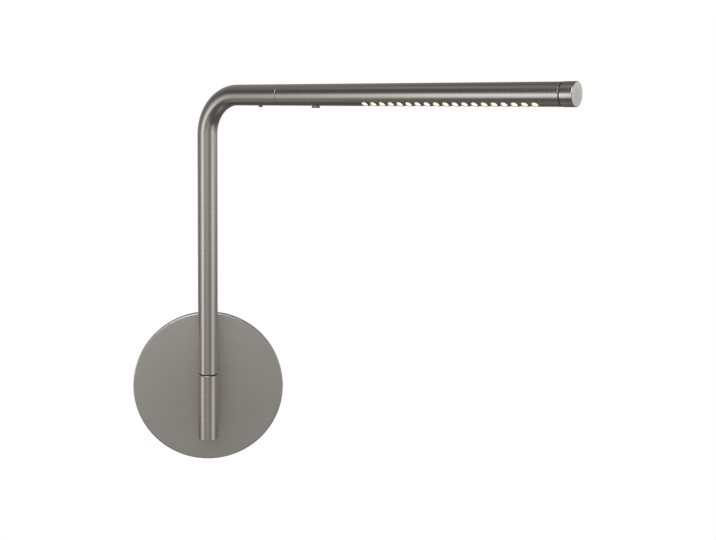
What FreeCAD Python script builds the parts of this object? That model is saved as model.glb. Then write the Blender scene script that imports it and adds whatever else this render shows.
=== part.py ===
import FreeCAD, Part
import math
import os

# Wall-mounted reading light on a bent-tube swing arm.
#
# Frame: the origin is the centre of the round wall plate on the wall surface, +Z is up,
# +X is to the right seen from the room, and the room is on the -Y side.  Lengths are in
# millimetres and angles in degrees.  "Depth" is a distance from the wall into the room.
# The arm and the lamp head are drawn with the arm along +X from the pivot axis, then
# turned out from the wall by swing_at_rest.  "Reach" is a distance along that arm.

# ---- tube of the arm and of the lamp head
tube_diameter = 16.0
tube_wall = 1.2
bend_radius = 31.0           # of the tube's centre line
arm_height = 241.0           # centre line of the level arm above the plate's centre
arm_reach = 73.4             # pivot axis to the end of the arm tube
swing_at_rest = 41.0         # angle between the wall and the arm in the rest pose
swing_travel = 180.0         # from flat against the wall on one side to the other
head_turn = 160.0            # how far the head turns each way about its own axis
head_joint_gap = 0.2         # between the ends of the two tubes

# ---- fits
running_gap = 0.05           # radial, between a shaft and its bush
seat_gap = 0.03              # radial, between pressed or bonded pieces
slide_gap = 0.2              # around inner parts that slide into the head
face_gap = 0.1               # between flat faces that rub
inner_edge = 0.5             # bevel on the ends of inner turned pieces

# ---- wall plate
plate_diameter = 125.0
plate_depth = 6.0
plate_face_wall = 1.6
plate_rim_wall = 1.8
plate_edge_radius = 1.0

# ---- bracket that the plate is fixed to
bracket_thickness = 1.5
bracket_ring_diameter = 42.0
bracket_ring_opening = 24.0
bracket_arm_width = 16.0
bracket_bend_radius = 1.0    # inside radius of the folded tabs
bracket_tab_width = 12.0
bracket_tab_clearance = 0.4  # from the tab's edge to the plate's inner face
bracket_rim_gap = 0.9        # from the tab to the plate's rim
box_screw_spacing = 88.9
box_slot_length = 12.0
box_slot_width = 4.6
ground_screw_diameter = 4.0
ground_screw_head_diameter = 7.0
ground_screw_head_height = 2.0
ground_screw_angle = 135.0   # place on the ring, from +X towards +Z
ground_screw_crown = 0.6     # height of the bevel round the top of its head
ground_screw_bevel = 0.9     # width of that bevel
screw_recess_width = 0.9
screw_recess_depth = 0.8
grub_screw_diameter = 3.0
grub_socket_width = 1.5      # across the flats of the hexagon
grub_socket_depth = 1.2
grub_screw_recess = 0.2      # below the rim's outside

# ---- post that carries the pivot sleeve
pivot_standoff = 22.0        # from the plate's face to the pivot axis
post_diameter = 14.0
post_thread_diameter = 10.0
post_thread_end = 0.6        # depth at which the threaded tail stops
wire_bore = 6.5
post_washer_diameter = 15.5
post_washer_thickness = 0.6
post_nut_width = 14.0        # across the flats
post_nut_thickness = 2.6

# ---- pivot sleeve, its bushes and its stop
sleeve_diameter = 17.0
sleeve_wall = 1.7
sleeve_lower_wall = 1.3      # below the shoulder that holds the lower bush
sleeve_top = 15.5            # height above the plate's centre
sleeve_length = 53.5
sleeve_edge = 0.4
shoulder_depth = 29.5        # from the sleeve's top to the lower bush's shoulder
bush_length = 8.0
bush_flange_thickness = 0.9
bush_flange_inset = 0.55     # how far the flange stays inside the sleeve's outside
end_plug_length = 4.0
stop_pin_diameter = 2.5
stop_pin_drop = 24.5         # from the sleeve's top down to the stop pin
stop_pin_recess = 0.3        # below the sleeve's outside
stop_groove_depth = 1.2
stop_pin_clearance = 0.25
stop_margin = 1.0            # degrees of free groove past each end of the travel

# ---- spindle that turns in the bushes
journal_diameter = 10.0
spindle_plug_length = 12.0
spindle_bore = 6.0
spindle_window_margin = 30.0  # degrees of window past each end of the travel
spindle_window_height = 8.0
spindle_floor = 2.0          # of bore left below the window
spindle_thread_diameter = 6.0
spindle_thread_length = 10.0
thrust_washer_thickness = 1.0
washer_bore_gap = 0.15
disc_spring_thickness = 0.6
disc_spring_rise = 0.4
spindle_nut_width = 10.0
spindle_nut_thickness = 4.5

# ---- joint between the arm and the head
spigot_in_arm = 27.0
spigot_in_head = 12.5
spigot_bore = 8.0
lock_screw_diameter = 3.0
lock_screw_setback = 19.4    # from the end of the arm back to the screw
lock_screw_stands_out = 1.2
lock_screw_tip_diameter = 2.0
lock_groove_width = 3.2
lock_groove_depth = 1.5
lock_tip_gap = 0.2
friction_ring_setback = 9.4  # from the end of the arm back to the ring
friction_ring_width = 2.2
friction_ring_depth = 1.4
friction_ring_side_gap = 0.1

# ---- light openings in the underside of the head
hole_diameter = 4.5
hole_pitch = 7.2
hole_row_angle = 31.0        # of the outer rows, from straight down
hole_count = 19              # in each outer row; the staggered middle row has one fewer
first_hole_place = 78.0      # from the start of the head
last_hole_to_end = 16.8      # from the last hole to the end of the head tube

# ---- light source inside the head
carrier_overhang = 5.0       # past the outermost holes' centres at each end
carrier_flat_height = 1.0    # of the carrier's flat above the head's axis
board_width = 9.0
board_thickness = 1.0
led_size = 3.0
led_thickness = 0.7
led_pitch = 7.2
diffuser_thickness = 1.0

# ---- end cap
cap_diameter = 16.4
cap_length = 8.6
cap_groove_width = 0.9
cap_groove_depth = 0.6
cap_plug_length = 8.0
cap_edge = 0.5

# ---- push button and what it works
button_place = 32.4          # from the start of the head
button_diameter = 7.0
button_stands_out = 1.6
button_travel = 1.0
button_hole_gap = 0.15
button_edge = 0.3
button_flange_length = 11.0
button_flange_width = 6.6
button_flange_thickness = 1.0
button_post_diameter = 3.0
flange_wall_gap = 0.1
guide_length = 19.0
guide_pocket_gap = 0.3       # around the button's flange
switch_size = 6.0
switch_height = 3.5
plunger_diameter = 3.0
plunger_height = 0.8
plunger_gap = 0.1            # left above the button when it is pressed
spring_mean_diameter = 4.8
spring_wire = 0.45
spring_turns = 2.5
spring_end_gap = 0.05

# ---- driver board beside the switch
driver_board_end_gap = 3.0   # to the spigot at one end and the light carrier at the other
driver_board_width = 10.4
driver_board_thickness = 1.0
driver_board_height = 2.0    # of its underside above the head's axis
coil_diameter = 6.0
coil_height = 3.4
capacitor_diameter = 5.0
capacitor_length = 9.0
chip_length = 5.0
chip_width = 4.0
chip_height = 1.5
driver_part_gap = 1.6        # between neighbouring parts on the board

# ---- places and radii worked out from the sizes above
ORIGIN = FreeCAD.Vector(0, 0, 0)
RIGHT = FreeCAD.Vector(1, 0, 0)
UP = FreeCAD.Vector(0, 0, 1)
TO_WALL = FreeCAD.Vector(0, 1, 0)
TO_ROOM = FreeCAD.Vector(0, -1, 0)
DOWN = FreeCAD.Vector(0, 0, -1)
BEHIND_ARM = 180.0           # direction about the spindle, from the arm round to its back

tube_radius = tube_diameter / 2
tube_bore_radius = tube_radius - tube_wall
pivot_depth = plate_depth + pivot_standoff
pivot = FreeCAD.Vector(0, -pivot_depth, 0)
head_axis = FreeCAD.Vector(0, 0, arm_height)
plate_inner_depth = plate_depth - plate_face_wall
rim_inner_radius = plate_diameter / 2 - plate_rim_wall

sleeve_radius = sleeve_diameter / 2
sleeve_bore_radius = sleeve_radius - sleeve_wall
sleeve_lower_radius = sleeve_radius - sleeve_lower_wall
sleeve_bottom = sleeve_top - sleeve_length
shoulder_height = sleeve_top - shoulder_depth
flange_top = sleeve_top + bush_flange_thickness
arm_foot = flange_top + face_gap
journal_radius = journal_diameter / 2
bush_bore_radius = journal_radius + running_gap
lower_bush_bottom = shoulder_height - bush_length
stop_height = sleeve_top - stop_pin_drop
groove_floor_radius = journal_radius - stop_groove_depth

lock_screw_reach = arm_reach - lock_screw_setback
friction_ring_reach = arm_reach - friction_ring_setback
head_start = arm_reach + head_joint_gap
spigot_end = head_start + spigot_in_head
button_reach = head_start + button_place
guide_end = button_reach + guide_length / 2
first_hole_reach = head_start + first_hole_place
last_hole_reach = first_hole_reach + (hole_count - 1) * hole_pitch
head_end = last_hole_reach + last_hole_to_end
carrier_start = first_hole_reach - carrier_overhang
carrier_length = last_hole_reach + carrier_overhang - carrier_start
insert_radius = tube_bore_radius - slide_gap
board_bottom = carrier_flat_height - board_thickness
driver_board_start = spigot_end + driver_board_end_gap
driver_board_length = carrier_start - driver_board_end_gap - driver_board_start
coil_reach = guide_end + driver_part_gap + coil_diameter / 2
capacitor_reach = coil_reach + coil_diameter / 2 + driver_part_gap
chip_reach = guide_end + driver_part_gap + chip_length / 2
second_chip_reach = chip_reach + chip_length / 2 + driver_part_gap + chip_width / 2

flange_bottom = -math.sqrt(tube_bore_radius ** 2 - (button_flange_width / 2) ** 2) + flange_wall_gap
flange_top_height = flange_bottom + button_flange_thickness
switch_bottom = driver_board_height - switch_height
plunger_tip = switch_bottom - plunger_height
button_post_top = plunger_tip - plunger_gap - button_travel


def at(reach, across, height):
    """Point near the head, measured along the arm, across it and up from its axis."""
    return FreeCAD.Vector(reach, across, arm_height + height)


def placed(shape, origin, axis):
    """Move a shape drawn about +Z so that it stands on origin and points along axis."""
    turn = FreeCAD.Rotation(UP, axis)
    shape.Placement = FreeCAD.Placement(origin, turn).multiply(shape.Placement)
    return shape


def turned(section, origin=ORIGIN, axis=UP, start=0.0, sweep=360.0):
    """Revolve a closed (along, radius) section; about +X, angle 0 points straight down."""
    corners = [FreeCAD.Vector(radius, 0, along) for along, radius in section]
    face = Part.Face(Part.makePolygon(corners + corners[:1]))
    solid = face.revolve(ORIGIN, UP, sweep)
    if start:
        solid.rotate(ORIGIN, UP, start)
    return placed(solid, origin, axis)


def ring(inner, outer, low, high, origin=ORIGIN, axis=UP, start=0.0, sweep=360.0):
    """Plain tube, washer or sector of one between two places on its axis."""
    section = [(low, inner), (low, outer), (high, outer), (high, inner)]
    return turned(section, origin, axis, start, sweep)


def rod(radius, low, high, origin=ORIGIN, axis=UP):
    """Solid cylinder between two places on its axis."""
    return Part.makeCylinder(radius, high - low, origin + axis * low, axis)


def block(length, width, height, centre_x, centre_y, low_z):
    """Box centred in X and Y on a given lowest height."""
    corner = FreeCAD.Vector(centre_x - length / 2, centre_y - width / 2, low_z)
    return Part.makeBox(length, width, height, corner)


def hexagon(width, low, high, origin, axis):
    """Hexagonal prism given across its flats."""
    corner_radius = width / math.sqrt(3)
    corners = []
    for side in range(6):
        angle = math.radians(60 * side)
        corners.append(FreeCAD.Vector(corner_radius * math.cos(angle), corner_radius * math.sin(angle), low))
    face = Part.Face(Part.makePolygon(corners + corners[:1]))
    return placed(face.extrude(UP * (high - low)), origin, axis)


def nut(width, bore, low, high, origin, axis):
    """Hexagonal nut with its corners turned down at both ends."""
    corner_radius = width / math.sqrt(3)
    bevel = (corner_radius - width / 2) * 0.6
    barrel = turned([(low, 0), (low, width / 2), (low + bevel, corner_radius), (high - bevel, corner_radius),
                     (high, width / 2), (high, 0)], origin, axis)
    return hexagon(width, low, high, origin, axis).common(barrel).cut(rod(bore / 2, low, high, origin, axis))


def circles(solid, radius, point, axis):
    """The solid's circular edges of one radius that lie in the plane through point."""
    found = []
    for edge in solid.Edges:
        if isinstance(edge.Curve, Part.Circle) and abs(edge.Curve.Radius - radius) < 1e-6:
            if abs((edge.Curve.Center - point).dot(axis)) < 1e-6:
                found.append(edge)
    return found


def stand(shape):
    """Carry a piece of the arm or head from the straight drawing to its place at rest."""
    shape.rotate(ORIGIN, UP, -swing_at_rest)
    shape.translate(pivot)
    return shape


# ---------------------------------------------------------------- wall plate and bracket

def make_backplate():
    """Shallow round dish with a softened front edge, a post hole and two screw holes."""
    outer = plate_diameter / 2
    dish = turned([(0, rim_inner_radius), (0, outer), (plate_depth, outer), (plate_depth, 0),
                   (plate_inner_depth, 0), (plate_inner_depth, rim_inner_radius)], ORIGIN, TO_ROOM)
    front = circles(dish, outer, TO_ROOM * plate_depth, TO_ROOM)
    dish = dish.makeFillet(plate_edge_radius, front)
    dish = dish.cut(rod(post_thread_diameter / 2 + seat_gap, 0, plate_depth, ORIGIN, TO_ROOM))
    middle = TO_ROOM * (plate_inner_depth / 2)
    for side in (RIGHT, RIGHT * -1):
        dish = dish.cut(rod(grub_screw_diameter / 2 + seat_gap, rim_inner_radius - 1, outer + 1, middle, side))
    return dish


def tab_outer_face():
    """Distance from the centre to the outside of the bracket's folded tabs."""
    return rim_inner_radius - bracket_rim_gap


def make_mounting_bracket():
    """Flat bar with a centre ring, two slots for the box screws and two folded tabs."""
    end = tab_outer_face()
    inside = bracket_bend_radius
    outside = bracket_bend_radius + bracket_thickness
    tab_depth = plate_inner_depth - bracket_tab_clearance
    bend_centre = end - outside
    diagonal = math.sqrt(0.5)

    def corner(x, depth):
        return FreeCAD.Vector(x, -depth, -bracket_tab_width / 2)

    def bend(radius, first, last):
        middle = corner(bend_centre + radius * diagonal, outside - radius * diagonal)
        return Part.Arc(first, middle, last).toShape()

    outline = [corner(0, 0), corner(bend_centre, 0), corner(end, outside), corner(end, tab_depth),
               corner(end - bracket_thickness, tab_depth), corner(end - bracket_thickness, outside),
               corner(bend_centre, bracket_thickness), corner(0, bracket_thickness)]
    edges = [Part.makeLine(outline[0], outline[1]), bend(outside, outline[1], outline[2])]
    edges += [Part.makeLine(outline[i], outline[i + 1]) for i in (2, 3, 4)]
    edges += [bend(inside, outline[5], outline[6]), Part.makeLine(outline[6], outline[7]),
              Part.makeLine(outline[7], outline[0])]
    arm = Part.Face(Part.Wire(edges)).extrude(UP * bracket_tab_width)

    bar_length = 2 * (bend_centre - 1)
    bar = Part.makeBox(bar_length, bracket_thickness, bracket_arm_width,
                       FreeCAD.Vector(-bar_length / 2, -bracket_thickness, -bracket_arm_width / 2))
    other_arm = arm.mirror(ORIGIN, RIGHT)
    hub = rod(bracket_ring_diameter / 2, 0, bracket_thickness, ORIGIN, TO_ROOM)
    bracket = bar.fuse([arm, other_arm, hub]).removeSplitter()
    bracket = bracket.cut(rod(bracket_ring_opening / 2, 0, bracket_thickness, ORIGIN, TO_ROOM))
    for side in (-1, 1):
        bracket = bracket.cut(box_slot(side * box_screw_spacing / 2))
    ground = ground_screw_place()
    return bracket.cut(rod(ground_screw_diameter / 2 + seat_gap, 0, bracket_thickness, ground, TO_ROOM))


def box_slot(centre_x):
    """Round-ended slot along X through the bracket."""
    radius = box_slot_width / 2
    half = box_slot_length / 2 - radius
    slot = Part.makeBox(2 * half, bracket_thickness, box_slot_width,
                        FreeCAD.Vector(centre_x - half, -bracket_thickness, -radius))
    ends = [rod(radius, 0, bracket_thickness, FreeCAD.Vector(centre_x + step, 0, 0), TO_ROOM)
            for step in (-half, half)]
    return slot.fuse(ends).removeSplitter()


def ground_screw_place():
    """Centre of the ground screw, midway across the bracket's ring."""
    radius = (bracket_ring_diameter + bracket_ring_opening) / 4
    angle = math.radians(ground_screw_angle)
    return FreeCAD.Vector(radius * math.cos(angle), 0, radius * math.sin(angle))


def make_ground_screw():
    """Slotted pan-head screw through the bracket's ring."""
    place = ground_screw_place()
    head_top = bracket_thickness + ground_screw_head_height
    shank = ground_screw_diameter / 2
    head = ground_screw_head_diameter / 2
    screw = turned([(0, 0), (0, shank), (bracket_thickness, shank), (bracket_thickness, head),
                    (head_top - ground_screw_crown, head), (head_top, head - ground_screw_bevel),
                    (head_top, 0)], place, TO_ROOM)
    slot = Part.makeBox(2 * head, screw_recess_depth, screw_recess_width,
                        place + FreeCAD.Vector(-head, -head_top, -screw_recess_width / 2))
    return screw.cut(slot)


def make_backplate_grub_screws():
    """Two socket screws in the plate's rim that clamp it to the bracket's tabs."""
    middle = TO_ROOM * (plate_inner_depth / 2)
    tip = tab_outer_face()
    outside = plate_diameter / 2 - grub_screw_recess
    screws = []
    for side in (RIGHT, RIGHT * -1):
        screw = rod(grub_screw_diameter / 2, tip, outside, middle, side)
        screws.append(screw.cut(hexagon(grub_socket_width, outside - grub_socket_depth, outside, middle, side)))
    return Part.makeCompound(screws)


def make_standoff_post():
    """Hollow post with a threaded tail, coped to the round of the pivot sleeve."""
    thread = post_thread_diameter / 2
    post = turned([(post_thread_end, 0), (post_thread_end, thread), (plate_depth, thread),
                   (plate_depth, post_diameter / 2), (pivot_depth, post_diameter / 2), (pivot_depth, 0)],
                  ORIGIN, TO_ROOM)
    saddle = rod(sleeve_radius + seat_gap, -post_diameter, post_diameter, pivot)
    return post.cut(saddle).cut(rod(wire_bore / 2, 0, pivot_depth, ORIGIN, TO_ROOM))


def make_post_washer():
    """Washer under the post's nut."""
    low = plate_inner_depth - post_washer_thickness
    return ring(post_thread_diameter / 2 + washer_bore_gap, post_washer_diameter / 2, low, plate_inner_depth,
                ORIGIN, TO_ROOM)


def make_post_nut():
    """Thin nut that draws the post against the plate."""
    high = plate_inner_depth - post_washer_thickness
    return nut(post_nut_width, post_thread_diameter + 2 * seat_gap, high - post_nut_thickness, high,
               ORIGIN, TO_ROOM)


# ---------------------------------------------------------------- pivot

def make_pivot_sleeve():
    """Short upright tube with a stepped bore, a wire hole and a hole for the stop pin."""
    sleeve = turned([(sleeve_bottom, sleeve_lower_radius), (sleeve_bottom, sleeve_radius - sleeve_edge),
                     (sleeve_bottom + sleeve_edge, sleeve_radius), (sleeve_top - sleeve_edge, sleeve_radius),
                     (sleeve_top, sleeve_radius - sleeve_edge), (sleeve_top, sleeve_bore_radius),
                     (shoulder_height, sleeve_bore_radius), (shoulder_height, sleeve_lower_radius)], pivot)
    sleeve = sleeve.cut(rod(wire_bore / 2, 0, sleeve_radius + 1, pivot, TO_WALL))
    pin_line = pivot + UP * stop_height
    return sleeve.cut(rod(stop_pin_diameter / 2 + seat_gap, 0, sleeve_radius + 1, pin_line, TO_WALL))


def make_upper_bush():
    """Flanged bush whose flange shows as the dark line under the arm tube."""
    outer = sleeve_bore_radius - seat_gap
    flange = sleeve_radius - bush_flange_inset
    return turned([(sleeve_top - bush_length, bush_bore_radius), (sleeve_top - bush_length, outer),
                   (sleeve_top, outer), (sleeve_top, flange), (flange_top, flange),
                   (flange_top, bush_bore_radius)], pivot)


def make_lower_bush():
    """Plain bush pressed up to the shoulder in the sleeve."""
    return ring(bush_bore_radius, sleeve_lower_radius - seat_gap, lower_bush_bottom, shoulder_height, pivot)


def make_stop_pin():
    """Pin in the back of the sleeve that reaches into the spindle's groove."""
    start = groove_floor_radius + stop_pin_clearance
    end = sleeve_radius - stop_pin_recess
    return rod(stop_pin_diameter / 2, start, end, pivot + UP * stop_height, TO_WALL)


def make_sleeve_end_plug():
    """Disc that closes the sleeve from below."""
    outer = sleeve_lower_radius - seat_gap
    top = sleeve_bottom + end_plug_length
    return turned([(sleeve_bottom, 0), (sleeve_bottom, outer), (top - inner_edge, outer),
                   (top, outer - inner_edge), (top, 0)], pivot)


def make_pivot_spindle():
    """Stepped hollow spindle with a wire window, a stop groove and a threaded end."""
    plug = tube_bore_radius - seat_gap
    tail = spindle_thread_diameter / 2
    journal_end = lower_bush_bottom + 4 * face_gap
    tail_end = lower_bush_bottom - spindle_thread_length
    top = arm_foot + spindle_plug_length
    spindle = turned([(tail_end, 0), (tail_end, tail), (journal_end, tail), (journal_end, journal_radius),
                      (arm_foot, journal_radius), (arm_foot, plug), (top - inner_edge, plug),
                      (top, plug - inner_edge), (top, 0)])
    window_low = -spindle_window_height / 2
    spindle = spindle.cut(rod(spindle_bore / 2, window_low - spindle_floor, top))
    window_half = swing_travel / 2 + spindle_window_margin
    window = ring(spindle_bore / 4, journal_radius + 1, window_low, window_low + spindle_window_height,
                  start=BEHIND_ARM - window_half, sweep=2 * window_half)
    pin_half = math.degrees(math.asin(stop_pin_diameter / 2 / groove_floor_radius))
    groove_half = swing_travel / 2 + pin_half + stop_margin
    half_height = stop_pin_diameter / 2 + stop_pin_clearance
    groove = ring(groove_floor_radius, journal_radius + 1, stop_height - half_height, stop_height + half_height,
                  start=BEHIND_ARM - groove_half, sweep=2 * groove_half)
    return stand(spindle.cut([window, groove]))


def washer_radius():
    """Outside radius of the washers inside the sleeve's lower bore."""
    return sleeve_lower_radius - 3 * face_gap


def make_thrust_washer():
    """Washer between the lower bush and the disc springs."""
    high = lower_bush_bottom - running_gap
    return stand(ring(spindle_thread_diameter / 2 + washer_bore_gap, washer_radius(),
                      high - thrust_washer_thickness, high))


def spring_stack_top():
    """Height of the top of the two disc springs."""
    return lower_bush_bottom - running_gap - thrust_washer_thickness


def disc_spring_height():
    """Height of one disc spring."""
    return disc_spring_thickness + disc_spring_rise


def make_disc_springs():
    """Two coned spring washers, rim to rim, that give the pivot its friction."""
    bore = spindle_thread_diameter / 2 + washer_bore_gap
    outer = washer_radius() - face_gap
    top = spring_stack_top()
    tall = disc_spring_height()
    upper = turned([(top, bore), (top - disc_spring_rise, outer), (top - tall, outer),
                    (top - disc_spring_thickness, bore)])
    base = top - 2 * tall
    lower = turned([(base, bore), (base + disc_spring_rise, outer), (base + tall, outer),
                    (base + disc_spring_thickness, bore)])
    return stand(Part.makeCompound([upper, lower]))


def make_spindle_nut():
    """Nut that presses the disc springs up."""
    high = spring_stack_top() - 2 * disc_spring_height()
    return stand(nut(spindle_nut_width, spindle_thread_diameter + 2 * seat_gap, high - spindle_nut_thickness,
                     high, ORIGIN, UP))


# ---------------------------------------------------------------- arm

def arm_path():
    """Centre line of the arm: up from the pivot, round the bend and out level."""
    bend_start = arm_height - bend_radius
    slant = bend_radius * (1 - math.sqrt(0.5))
    foot = FreeCAD.Vector(0, 0, arm_foot)
    low = FreeCAD.Vector(0, 0, bend_start)
    middle = FreeCAD.Vector(slant, 0, arm_height - slant)
    high = FreeCAD.Vector(bend_radius, 0, arm_height)
    end = FreeCAD.Vector(arm_reach, 0, arm_height)
    return Part.Wire([Part.makeLine(foot, low), Part.Arc(low, middle, high).toShape(), Part.makeLine(high, end)])


def make_arm_tube():
    """Tube bent through a right angle, tapped from below for the lock screw."""
    foot = FreeCAD.Vector(0, 0, arm_foot)
    skins = []
    for radius in (tube_radius, tube_bore_radius):
        circle = Part.Wire(Part.makeCircle(radius, foot, UP))
        skins.append(arm_path().makePipeShell([circle], True, True))
    tube = skins[0].cut(skins[1])
    hole = rod(lock_screw_diameter / 2 + seat_gap, tube_bore_radius - 1, tube_radius + 1,
               at(lock_screw_reach, 0, 0), DOWN)
    return stand(tube.cut(hole))


def make_lock_screw():
    """Screw under the arm whose tip runs in the spigot's groove."""
    body = lock_screw_diameter / 2
    tip = lock_screw_tip_diameter / 2
    tip_end = tube_bore_radius - running_gap - lock_groove_depth + lock_tip_gap
    outside = tube_radius + lock_screw_stands_out
    place = at(lock_screw_reach, 0, 0)
    screw = turned([(tip_end, 0), (tip_end, tip), (tube_bore_radius, tip), (tube_bore_radius, body),
                    (outside, body), (outside, 0)], place, DOWN)
    socket = hexagon(grub_socket_width, outside - grub_socket_depth, outside, place, DOWN)
    return stand(screw.cut(socket))


# ---------------------------------------------------------------- head

def make_head_spigot():
    """Hollow spigot fixed in the head that turns in the end of the arm."""
    in_arm = tube_bore_radius - running_gap
    in_head = tube_bore_radius - seat_gap
    low = arm_reach - spigot_in_arm
    high = spigot_end
    bore = spigot_bore / 2
    ring_low = friction_ring_reach - friction_ring_width / 2
    ring_high = friction_ring_reach + friction_ring_width / 2
    ring_floor = in_arm - friction_ring_depth
    spigot = turned([(low, bore), (low, in_arm - inner_edge), (low + inner_edge, in_arm), (ring_low, in_arm),
                     (ring_low, ring_floor), (ring_high, ring_floor), (ring_high, in_arm), (arm_reach, in_arm),
                     (arm_reach, in_head), (high, in_head), (high, bore)], head_axis, RIGHT)
    tip_half = math.degrees(math.asin(lock_screw_tip_diameter / 2 / (in_arm - lock_groove_depth)))
    groove_half = head_turn + tip_half + stop_margin
    groove = ring(in_arm - lock_groove_depth, in_arm + 1, lock_screw_reach - lock_groove_width / 2,
                  lock_screw_reach + lock_groove_width / 2, head_axis, RIGHT, -groove_half, 2 * groove_half)
    return stand(spigot.cut(groove))


def make_friction_ring():
    """Rubber ring in the spigot's outer groove that holds the head where it is turned."""
    outer = tube_bore_radius - running_gap
    inner = outer - friction_ring_depth + seat_gap
    half = friction_ring_width / 2 - friction_ring_side_gap
    return stand(ring(inner, outer, friction_ring_reach - half, friction_ring_reach + half, head_axis, RIGHT))


def light_holes():
    """Drills for the light openings: two outer rows and a staggered row between them."""
    drills = []
    rows = [(-hole_row_angle, 0.0, hole_count), (0.0, hole_pitch / 2, hole_count - 1),
            (hole_row_angle, 0.0, hole_count)]
    for angle, offset, count in rows:
        tilt = math.radians(angle)
        outward = FreeCAD.Vector(0, math.sin(tilt), -math.cos(tilt))
        for number in range(count):
            place = at(first_hole_reach + offset + number * hole_pitch, 0, 0)
            drills.append(rod(hole_diameter / 2, tube_bore_radius / 2, tube_radius + 1, place, outward))
    return drills


def make_head_tube():
    """Straight tube with the light openings and the button's hole in its underside."""
    tube = ring(tube_bore_radius, tube_radius, head_start, head_end, head_axis, RIGHT)
    button_hole = rod(button_diameter / 2 + button_hole_gap, tube_bore_radius / 2, tube_radius + 1,
                      at(button_reach, 0, 0), DOWN)
    return stand(tube.cut(light_holes() + [button_hole]))


def make_led_carrier():
    """Half-round aluminium bar that carries the light board and takes its heat."""
    bar = rod(insert_radius, carrier_start, carrier_start + carrier_length, head_axis, RIGHT)
    above = block(carrier_length, 2 * insert_radius, insert_radius, carrier_start + carrier_length / 2, 0,
                  arm_height + carrier_flat_height)
    return stand(bar.common(above))


def make_led_board():
    """Long narrow board under the carrier's flat."""
    return stand(block(carrier_length, board_width, board_thickness, carrier_start + carrier_length / 2, 0,
                       arm_height + board_bottom))


def make_led_chips():
    """Row of light-emitting chips along the board."""
    count = int((carrier_length - led_size) // led_pitch) + 1
    middle = carrier_start + carrier_length / 2
    first = middle - (count - 1) * led_pitch / 2
    chips = [block(led_size, led_size, led_thickness, first + number * led_pitch, 0,
                   arm_height + board_bottom - led_thickness) for number in range(count)]
    return stand(Part.makeCompound(chips))


def make_diffuser():
    """Curved opal strip that lines the openings and closes against the carrier."""
    outer = insert_radius
    inner = outer - diffuser_thickness
    half = 90 + math.degrees(math.asin((carrier_flat_height - face_gap) / outer))
    strip = ring(inner, outer, carrier_start, carrier_start + carrier_length, head_axis, RIGHT, -half, 2 * half)
    return stand(strip)


def make_end_cap():
    """Turned cap with a shadow groove where it meets the tube."""
    plug = tube_bore_radius - seat_gap
    neck = tube_radius - cap_groove_depth
    outer = cap_diameter / 2
    shoulder = head_end + cap_groove_width
    end = shoulder + cap_length
    cap = turned([(head_end - cap_plug_length, 0), (head_end - cap_plug_length, plug), (head_end, plug),
                  (head_end, neck), (shoulder, neck), (shoulder, outer), (end, outer), (end, 0)],
                 head_axis, RIGHT)
    rims = circles(cap, outer, at(end, 0, 0), RIGHT)
    return stand(cap.makeFillet(cap_edge, rims))


# ---------------------------------------------------------------- button, switch and driver

def make_push_button():
    """Round button with a flange that stops it against the inside of the tube."""
    down_to = -(tube_radius + button_stands_out)
    radius = button_diameter / 2
    stem = rod(radius, down_to, flange_bottom, at(button_reach, 0, 0))
    stem = stem.makeFillet(button_edge, circles(stem, radius, at(button_reach, 0, down_to), UP))
    flange = block(button_flange_length, button_flange_width, button_flange_thickness, button_reach, 0,
                   arm_height + flange_bottom)
    post = rod(button_post_diameter / 2, flange_top_height, button_post_top, at(button_reach, 0, 0))
    return stand(stem.fuse([flange, post]))


def make_button_guide():
    """Saddle inside the tube that guides the flange and carries the driver board."""
    bar = rod(insert_radius, button_reach - guide_length / 2, button_reach + guide_length / 2, head_axis, RIGHT)
    below = block(guide_length, 2 * insert_radius, insert_radius + driver_board_height, button_reach, 0,
                  arm_height - insert_radius)
    pocket = block(button_flange_length + 2 * guide_pocket_gap, button_flange_width + 2 * guide_pocket_gap,
                   2 * tube_radius, button_reach, 0, arm_height - tube_radius)
    return stand(bar.common(below).cut(pocket))


def make_button_spring():
    """Square-wire coil between the button's flange and the switch."""
    low = flange_top_height + spring_end_gap
    high = switch_bottom - spring_end_gap
    rise = high - low - spring_wire
    helix = Part.makeHelix(rise / spring_turns, rise, spring_mean_diameter / 2)
    half = spring_wire / 2
    middle = spring_mean_diameter / 2
    corners = [FreeCAD.Vector(middle + x, 0, z) for x, z in
               ((-half, -half), (half, -half), (half, half), (-half, half))]
    section = Part.makePolygon(corners + corners[:1])
    coil = Part.Wire(helix.Edges).makePipeShell([section], True, True)
    coil.translate(at(button_reach, 0, low + half))
    return stand(coil)


def make_tact_switch():
    """Small square switch with a round plunger facing the button."""
    body = block(switch_size, switch_size, switch_height, button_reach, 0, arm_height + switch_bottom)
    plunger = rod(plunger_diameter / 2, plunger_tip, switch_bottom, at(button_reach, 0, 0))
    return stand(body.fuse(plunger))


def make_driver_board():
    """Board that carries the switch and the parts that feed the light."""
    return stand(block(driver_board_length, driver_board_width, driver_board_thickness,
                       driver_board_start + driver_board_length / 2, 0, arm_height + driver_board_height))


def make_driver_components():
    """Coil, capacitor and chips soldered to the driver board."""
    underside = driver_board_height
    top = driver_board_height + driver_board_thickness
    coil = rod(coil_diameter / 2, underside - coil_height, underside, at(coil_reach, 0, 0))
    capacitor = rod(capacitor_diameter / 2, 0, capacitor_length,
                    at(capacitor_reach, 0, underside - capacitor_diameter / 2), RIGHT)
    chip = block(chip_length, chip_width, chip_height, chip_reach, 0, arm_height + top)
    second_chip = block(chip_width, chip_length, chip_height, second_chip_reach, 0, arm_height + top)
    return stand(Part.makeCompound([coil, capacitor, chip, second_chip]))


# ---------------------------------------------------------------- write the pieces

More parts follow.
